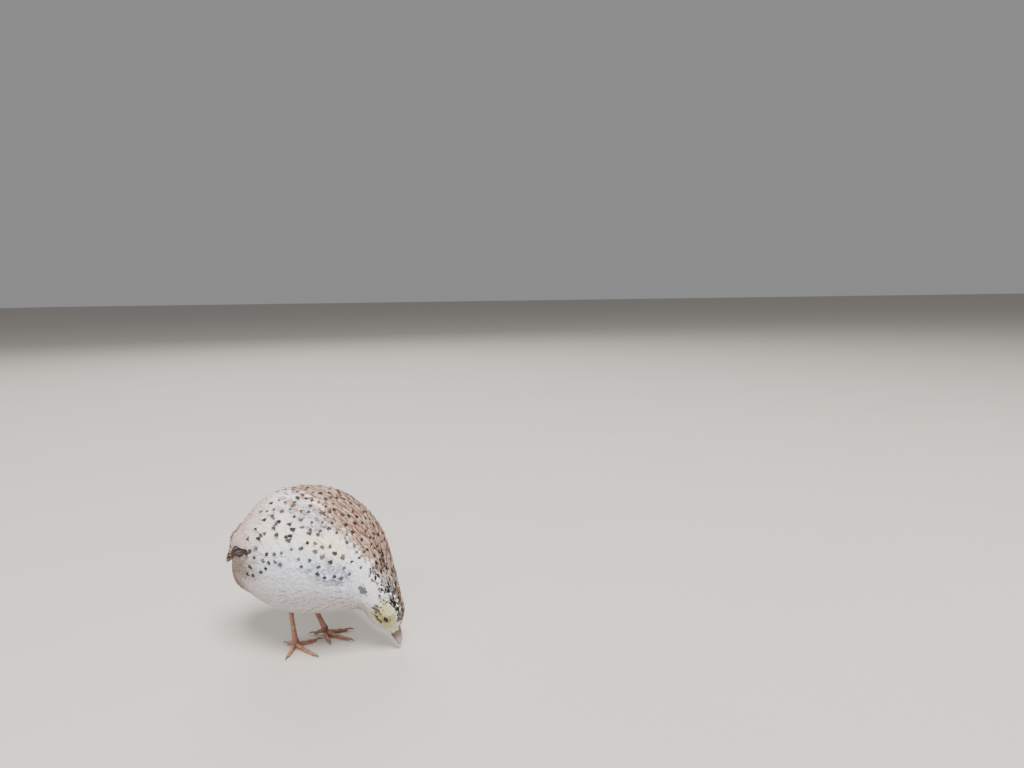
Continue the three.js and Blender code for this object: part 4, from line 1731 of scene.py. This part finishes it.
@dataclass
class Tail:
    """The short tail: barred feathers in a folded fan, and the coverts over and under them."""

    count: int = 14
    half: float = 3.6
    fan: float = 88

    def build(self, material: bpy.types.Material) -> None:
        """Builds the fan and its coverts.

        Args:
            material: The finish.
        """
        draw = np.random.default_rng(SEED + 60)
        Coat("tail_feathers", [self.feathers(draw)]).build(material, draw)
        coverts = Tract((0.1, 2.9), (0, 180), 2.3, 9.5, 2.9, -0.1, 1.8, CONTOUR, sweep=0.22)
        Coat("tail_coverts", [coverts.plumes(TAIL_SURFACE, draw, paint_tail)]).build(material, draw)

    def feathers(self, draw: np.random.Generator) -> Plumes:
        """Lays the barred feathers from side to side.

        Args:
            draw: The source of chance.

        Returns:
            The tail's feathers.
        """
        share = np.linspace(-1, 1, self.count)
        roots = np.stack((np.full(self.count, 1.4), np.radians(share * self.fan * 0.85)), -1)
        reach = 4.12 - 0.3 * share**2 + draw.normal(0, 0.03, self.count)
        tips = np.stack((reach, np.radians(share * self.fan)), -1)
        paint = Paint.plain(jitter(np.tile(Hue.RUMP.light, (self.count, 1)), draw), Hue.BARRED)
        paint.bars[:] = 0.9
        paint.margin[:] = 0.4
        high = 1.2 + 0.35 * (1 - np.abs(share))
        half, low = np.full(self.count, self.half), np.full(self.count, 0.4)
        return Plumes(TAIL_SURFACE, LONG, roots, tips, half, low, high, paint)


def head_turn(axis: np.ndarray) -> Matrix:
    """Turns Z onto an eye's axis, with Y towards the crown.

    Args:
        axis: The direction in which the eye looks.

    Returns:
        The turn.
    """
    z = Vector(axis)
    over = Vector(on_head(0, 0, 1) - on_head(0, 0, 0))
    x = over.cross(z).normalized()
    return Matrix((x, z.cross(x), z)).transposed()


@dataclass
class Eyes:
    """The eyes with their lids."""

    opening: float = 1.62
    squeeze: float = 0.84
    corner: float = 0.22
    profile: tuple[Pair, ...] = (
        (-0.06, -0.25), (-0.02, 0.14), (0.12, 0.3), (0.35, 0.36),
        (0.8, 0.3), (1.4, 0.14), (1.7, -0.2), (0.9, -0.3),
    )

    def build(self, ball: bpy.types.Material, rim: bpy.types.Material) -> None:
        """Builds both eyes and both pairs of lids.

        Args:
            ball: The eyeballs' finish.
            rim: The lids' finish.
        """
        for name, side in SIDES.items():
            axis, centre = eye_lie(side)
            self.ball(name, axis, centre, ball)
            self.lids(name, axis, centre, rim)

    def ball(self, name: str, axis: np.ndarray, centre: np.ndarray, material: bpy.types.Material) -> None:
        """Builds one eyeball, with its pole on the axis.

        Args:
            name: The eye's side, in words.
            axis: The direction in which the eye looks.
            centre: The eyeball's centre, in millimetres.
            material: The finish.
        """
        turn = np.array(head_turn(axis))

        def spot(share: np.ndarray, angle: np.ndarray) -> np.ndarray:
            """Finds the piece's points.

            Args:
                share: Shares of the length.
                angle: Angles round it.

            Returns:
                The places, in millimetres.
            """
            around = np.stack((np.cos(angle), np.sin(angle)), -1) * np.sin(np.pi * share)[:, None]
            ball = np.concatenate((around, np.cos(np.pi * share)[:, None]), 1) * EYEBALL_RADIUS
            return centre + ball @ turn.T

        maker, net = wrapped(48, 40, spot)
        piece = to_object(f"eyeball_{name}", maker)
        reach = net[:, 0] * np.pi * EYEBALL_RADIUS / self.opening
        store_run(piece, np.clip(reach, 0, 1), net[:, 1])
        dress(piece, material, (f"eye_{name}",))

    def lids(self, name: str, axis: np.ndarray, centre: np.ndarray, material: bpy.types.Material) -> None:
        """Builds one eye's lids as a shell that hugs the ball, drawn to a point before and behind.

        Args:
            name: The eye's side, in words.
            axis: The direction in which the eye looks.
            centre: The eyeball's centre, in millimetres.
            material: The finish.
        """
        maker = bmesh.new()
        turn = head_turn(axis)
        corners = [maker.verts.new((self.opening + out, 0, up)) for out, up in self.profile]
        for first, second in zip(corners, corners[1:] + corners[:1]):
            maker.edges.new((first, second))
        rim = maker.verts[:] + maker.edges[:]
        bmesh.ops.spin(
            maker, geom=rim, cent=(0, 0, 0), axis=(0, 0, 1), angle=math.tau, steps=56, use_merge=True
        )
        bmesh.ops.remove_doubles(maker, verts=maker.verts[:], dist=0.0005)
        bmesh.ops.recalc_face_normals(maker, faces=maker.faces[:])
        for vertex in maker.verts:
            x, y, up = vertex.co
            reach = math.hypot(x, y)
            share = max(0.0, 1 - (reach - self.opening) / 1.6)
            long = 1 + self.corner * share * (abs(x) / reach) ** 6
            x, y = x * long, y * (1 - (1 - self.squeeze) * share)
            over_ball = math.sqrt(EYEBALL_RADIUS**2 - x * x - y * y)
            vertex.co = Vector(to_scene(centre + np.array(turn @ Vector((x, y, over_ball + up)))))
        dress(to_object(f"lids_{name}", maker), material)


@dataclass
class Bill:
    """The bill: an upper half with covered nostrils, and a lower half that fits under it."""

    columns: int = 48
    rows: int = 60

    def build(self, material: bpy.types.Material) -> None:
        """Builds both halves.

        Args:
            material: The finish.
        """
        for name, stations in (("upper", UPPER_BILL_STATIONS), ("lower", LOWER_BILL_STATIONS)):
            form = Form(stations)
            surface = Surface(form, self.swelling if name == "upper" else level)
            piece, station, angle = wrap_form(f"bill_horn_{name}", surface, self.columns, self.rows)
            store_run(piece, station / form.last, angle)
            dress(piece, material, (f"bill_{name}",))

    def swelling(self, station: np.ndarray, angle: np.ndarray) -> np.ndarray:
        """Raises the cover over each nostril and sinks the slit below it.

        Args:
            station: The places' stations.
            angle: Their angles from the back, in radians.

        Returns:
            The rise, in millimetres.
        """
        degrees = np.degrees(np.abs(angle))
        cover = oval(station, degrees, (0.95, 55), (0.62, 26))
        slit = oval(station, degrees, (1.05, 80), (0.42, 9))
        return 0.42 * ease(cover, 1, 0.3) - 0.5 * ease(slit, 1, 0.2)


@dataclass(frozen=True)
class Stance:
    """Where one foot stands and how its toes lie, in millimetres and degrees."""

    name: str
    side: int
    at: Pair
    lean: float
    headings: dict[str, float]


STANCES = (
    Stance("right", -1, (-11.1, -3.3), -3, {"middle": 26, "outer": 78, "inner": -50, "hind": 196}),
    Stance("left", 1, (9.8, 5.8), -13, {"middle": -14, "outer": 34, "inner": -50, "hind": 194}),
)
TOE_LENGTHS = {"middle": 20.0, "outer": 14.5, "inner": 13.5, "hind": 6.0}


@dataclass
class Legs:
    """Bare legs and feet with overlapping scutes, and the claws."""

    tarsus_radius: float = 1.6
    tarsus_top: float = 31.0
    scutes: int = 15
    foot_height: float = 5.0
    toe_radius: float = 1.25
    toe_root: float = 3.1
    claw_length: float = 4.9

    def build(self, skin: bpy.types.Material, horn: bpy.types.Material) -> None:
        """Builds both legs.

        Args:
            skin: The finish of legs and toes.
            horn: The claws' finish.
        """
        for stance in STANCES:
            maker = bmesh.new()
            crease = maker.verts.layers.float.new("Crease")
            self.tarsus(maker, crease, stance)
            for toe in TOE_LENGTHS:
                self.toe(maker, crease, stance, toe)
            bmesh.ops.recalc_face_normals(maker, faces=maker.faces[:])
            piece = to_object(f"leg_{stance.name}", maker)
            dress(piece, skin, (f"tarsus_{stance.name}", f"foot_{stance.name}"))
            for toe in TOE_LENGTHS:
                self.claw(stance, toe, horn)

    def tube(
        self,
        maker: bmesh.types.BMesh,
        crease: object,
        columns: int,
        rows: int,
        line: Callable[[float], tuple],
    ) -> None:
        """Adds a closed round limb along a line.

        Args:
            maker: The mesh that it joins.
            crease: The layer that keeps how deep in a crease each point lies.
            columns: Faces round it.
            rows: Faces along it.
            line: Gives the centre, the run, the upward side, and a radius and crease by angle.
        """
        made = bmesh.ops.create_uvsphere(maker, u_segments=columns, v_segments=rows, radius=1.0)
        for vertex in made["verts"]:
            share = math.acos(max(-1, min(1, vertex.co.z))) / math.pi
            angle = math.atan2(vertex.co.y, vertex.co.x)
            centre, run, over, radius = line(share)
            side = np.cross(run, over)
            side /= np.linalg.norm(side)
            up = np.cross(side, run)
            reach, depth = radius(angle)
            reach *= math.sqrt(max(0.0, 1 - (1 - min(1.0, min(share, 1 - share) * 12)) ** 2))
            place_mm = centre + (side * math.cos(angle) + up * math.sin(angle)) * reach
            place_mm[2] = max(place_mm[2], 0.0)
            vertex.co = Vector(to_scene(place_mm))
            vertex[crease] = depth

    def tarsus(self, maker: bmesh.types.BMesh, crease: object, stance: Stance) -> None:
        """Adds the leg, with broad scutes down its front and a knob at the foot.

        Args:
            maker: The mesh that it joins.
            crease: The layer that keeps the creases.
            stance: Where the foot stands and how its toes lie.
        """

        def line(share: float) -> tuple:
            """Finds the limb's line at a share of its length.

            Args:
                share: Share of the length.

            Returns:
                The centre, the run, the upward side, and a function that gives the radius by angle.
            """
            up = self.tarsus_top + (1.2 - self.tarsus_top) * share
            rise = max((up - self.foot_height) / (self.tarsus_top - self.foot_height), 0.0)
            centre = place(stance.at[0], stance.at[1] + stance.lean * rise, up)
            run = place(0, stance.lean, self.tarsus_top - self.foot_height)
            run = run / np.linalg.norm(run)
            knob = 0.75 * math.exp(-((up - 2.6) / 2.0) ** 2)
            thick = self.tarsus_radius * (0.9 + 1.3 * (rise - 0.45) ** 2) + knob
            phase = (rise * self.scutes) % 1.0

            def radius(angle: float) -> Pair:
                """Finds the limb's radius on one side.

                Args:
                    angle: The angle round the limb.

                Returns:
                    The radius and how deep in a crease it lies.
                """
                front = 0.5 + 0.5 * math.cos(angle - math.pi / 2)
                plate = (1 - phase) * 0.16 * front
                groove = math.exp(-((phase - 0.04) / 0.09) ** 2) * (0.35 + 0.65 * front)
                return thick + plate, min(groove, 1.0)

            return centre, run, place(0, 1, 0), radius

        self.tube(maker, crease, 28, 260, line)

    def toe_line(self, stance: Stance, toe: str) -> Callable[[float], tuple[np.ndarray, np.ndarray, float]]:
        """Finds the line of a toe: its centre, its heading and its radius at a distance from the hub.

        Args:
            stance: Where the foot stands and how its toes lie.
            toe: Which toe.

        Returns:
            A function that gives the line at a distance.
        """
        length = TOE_LENGTHS[toe]
        turned = math.radians(stance.headings[toe]) * stance.side
        heading = place(math.sin(turned), math.cos(turned), 0)
        start = place(*stance.at, self.toe_root)
        raised = 1.6 if toe == "hind" else 0.0

        def at(distance: float) -> tuple[np.ndarray, np.ndarray, float]:
            """Finds the toe's line at a distance from the hub.

            Args:
                distance: Distance from the hub, in millimetres.

            Returns:
                The centre, the heading and the radius.
            """
            share = min(distance / length, 1.0)
            radius = self.toe_radius * (1.12 - 0.3 * share + 0.09 * math.cos(math.tau * 3 * share))
            centre = start + heading * distance
            fall = math.exp(-distance / 2.4)
            centre[2] = (0.86 * radius + raised * (1 - share)) * (1 - fall) + start[2] * fall
            return centre, heading, radius

        return at

    def toe(self, maker: bmesh.types.BMesh, crease: object, stance: Stance, toe: str) -> None:
        """Adds one toe, with scutes over it and pads beneath.

        Args:
            maker: The mesh that it joins.
            crease: The layer that keeps the creases.
            stance: Where the foot stands and how its toes lie.
            toe: Which toe.
        """
        at = self.toe_line(stance, toe)
        length = TOE_LENGTHS[toe]
        plates = round(length / 1.25)

        def line(share: float) -> tuple:
            """Finds the limb's line at a share of its length.

            Args:
                share: Share of the length.

            Returns:
                The centre, the run, the upward side, and a function that gives the radius by angle.
            """
            distance = share * (length + 0.5)
            centre, heading, thick = at(distance)
            phase = (distance / length * plates) % 1.0
            pads = 0.12 * math.cos(math.tau * 3 * min(share, 1.0))

            def radius(angle: float) -> Pair:
                """Finds the limb's radius on one side.

                Args:
                    angle: The angle round the limb.

                Returns:
                    The radius and how deep in a crease it lies.
                """
                top = max(math.sin(angle), 0.0)
                plate = (1 - phase) * 0.12 * top
                groove = math.exp(-((phase - 0.05) / 0.12) ** 2) * (0.3 + 0.7 * top)
                return thick + plate + pads * max(-math.sin(angle), 0.0), min(groove, 1.0)

            return centre, heading, np.array((0.0, 0.0, 1.0)), radius

        self.tube(maker, crease, 18, int(length * 9), line)

    def claw(self, stance: Stance, toe: str, horn: bpy.types.Material) -> None:
        """Builds one curved claw, flat beneath and drawn to a blunt point.

        Args:
            stance: Where the foot stands and how its toes lie.
            toe: Which toe.
            horn: The claws' finish.
        """
        root, heading, _ = self.toe_line(stance, toe)(TOE_LENGTHS[toe])
        side = np.cross(heading, (0, 0, 1))

        def spot(share: np.ndarray, angle: np.ndarray) -> np.ndarray:
            """Finds the piece's points.

            Args:
                share: Shares of the length.
                angle: Angles round it.

            Returns:
                The places, in millimetres.
            """
            opened = np.sqrt(np.clip(1 - (1 - np.minimum(share * 9, 1)) ** 2, 0, 1))
            reach = (0.8 * (1 - share) ** 0.75 + 0.12) * opened
            reach = reach * np.clip((1 - share) * 30, 0, 1)
            centre = root[None] + heading * (share * self.claw_length - 0.1)[:, None]
            centre[:, 2] += 0.45 * np.sin(np.pi * share) - 0.75 * share**2 + 0.1
            centre[:, 2] = np.maximum(centre[:, 2], 0.2)
            round_off = np.where(np.sin(angle) < 0, 0.7, 1.0) * np.sin(angle)
            point = centre + side * (np.cos(angle) * reach * 0.82)[:, None]
            point[:, 2] += round_off * reach
            point[:, 2] = np.maximum(point[:, 2], 0.0)
            return point

        maker, net = wrapped(16, 24, spot)
        piece = to_object(f"claw_horn_{stance.name}_{toe}", maker)
        store_run(piece, net[:, 0], net[:, 1])
        dress(piece, horn, (f"claw_{stance.name}_{toe}",))


@dataclass(frozen=True)
class Studio:
    """A pale floor, soft light and the camera at the picture's viewing angle."""

    floor_reach: float = 30.0
    camera_at: Triple = (-430.0, 248.25, 217.6)
    look_along: Pair = (0.96815, 0.25037)
    pitch: float = 6.5
    roll: float = 0.9
    lens: float = 27.42
    sensor: float = 36.0

    def build(self) -> None:
        """Builds the floor, the lights and the camera."""
        self.floor()
        self.light("key", place(-1150, 950, 2700), size=1.5, power=190.0, colour=(1.0, 0.985, 0.96))
        self.light("fill", place(-2400, -300, 1100), size=1.8, power=34.0, colour=(0.95, 0.97, 1.0))
        self.light("rim", place(1900, -1200, 2100), size=1.6, power=50.0, colour=(1.0, 0.98, 0.96))
        world = bpy.data.worlds.new("studio")
        world.use_nodes = True
        sky = world.node_tree.nodes["Background"]
        sky.inputs["Color"].default_value = (0.84, 0.84, 0.85, 1)
        sky.inputs["Strength"].default_value = 0.33
        bpy.context.scene.world = world
        self.camera()

    def floor(self) -> None:
        """Builds the plain pale floor."""
        maker = bmesh.new()
        bmesh.ops.create_grid(maker, x_segments=1, y_segments=1, size=self.floor_reach)
        piece = to_object("floor", maker)
        graph = Graph("floor_paint")
        grain = graph.noise(graph.place(), 6.0, 2.0)
        graph.set("Base Color", graph.mix(grain, rgba(linear(196, 190, 182)), rgba(linear(202, 196, 188))))
        graph.set("Roughness", 0.8)
        piece.data.materials.append(graph.material)

    def light(self, name: str, at: np.ndarray, size: float, power: float, colour: Triple) -> None:
        """Adds one soft light that faces the bird.

        Args:
            name: The light's name.
            at: Its place, in millimetres.
            size: Its width, in metres.
            power: Its power, in watts.
            colour: Its colour.
        """
        lamp = bpy.data.lights.new(name, "AREA")
        lamp.size = size
        lamp.energy = power
        lamp.color = colour
        piece = add_object(name, lamp)
        piece.location = Vector(to_scene(at))
        aim = Vector(to_scene(place(0, 0, 55))) - piece.location
        piece.rotation_euler = aim.to_track_quat("-Z", "Y").to_euler()

    def camera(self) -> None:
        """Sets the camera where the picture was taken from."""
        ahead = Vector((*self.look_along, 0)).normalized()
        right = ahead.cross(Vector((0, 0, 1)))
        pitch, roll = math.radians(self.pitch), math.radians(self.roll)
        forward = ahead * math.cos(pitch) - Vector((0, 0, 1)) * math.sin(pitch)
        level_up = right.cross(forward)
        up = level_up * math.cos(roll) + right * math.sin(roll)
        across = forward.cross(up)
        lens = bpy.data.cameras.new("camera")
        lens.lens = self.lens
        lens.sensor_width = self.sensor
        lens.clip_start = 0.01
        piece = add_object("camera", lens)
        turn = Matrix((across, up, -forward)).transposed().to_4x4()
        piece.matrix_world = Matrix.Translation(Vector(to_scene(place(*self.camera_at)))) @ turn
        bpy.context.scene.camera = piece


def main() -> None:
    """Builds the bird piece by piece, and then its studio."""
    logging.basicConfig(level=logging.INFO, format="%(name)s: %(message)s")
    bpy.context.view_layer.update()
    plumage = PlumageFinish().build()
    Skin().build(SkinFinish().build())
    BodyPlumage().build(plumage)
    Wings().build(plumage)
    Tail().build(plumage)
    Eyes().build(EyeFinish().build(), LidFinish().build())
    Bill().build(HornFinish("bill_horn", (82, 72, 58), (160, 138, 140)).build())
    Legs().build(LegFinish().build(), HornFinish("claw_horn", (150, 122, 104), (92, 74, 64)).build())
    Studio().build()


if __name__ == "__main__":
    main()
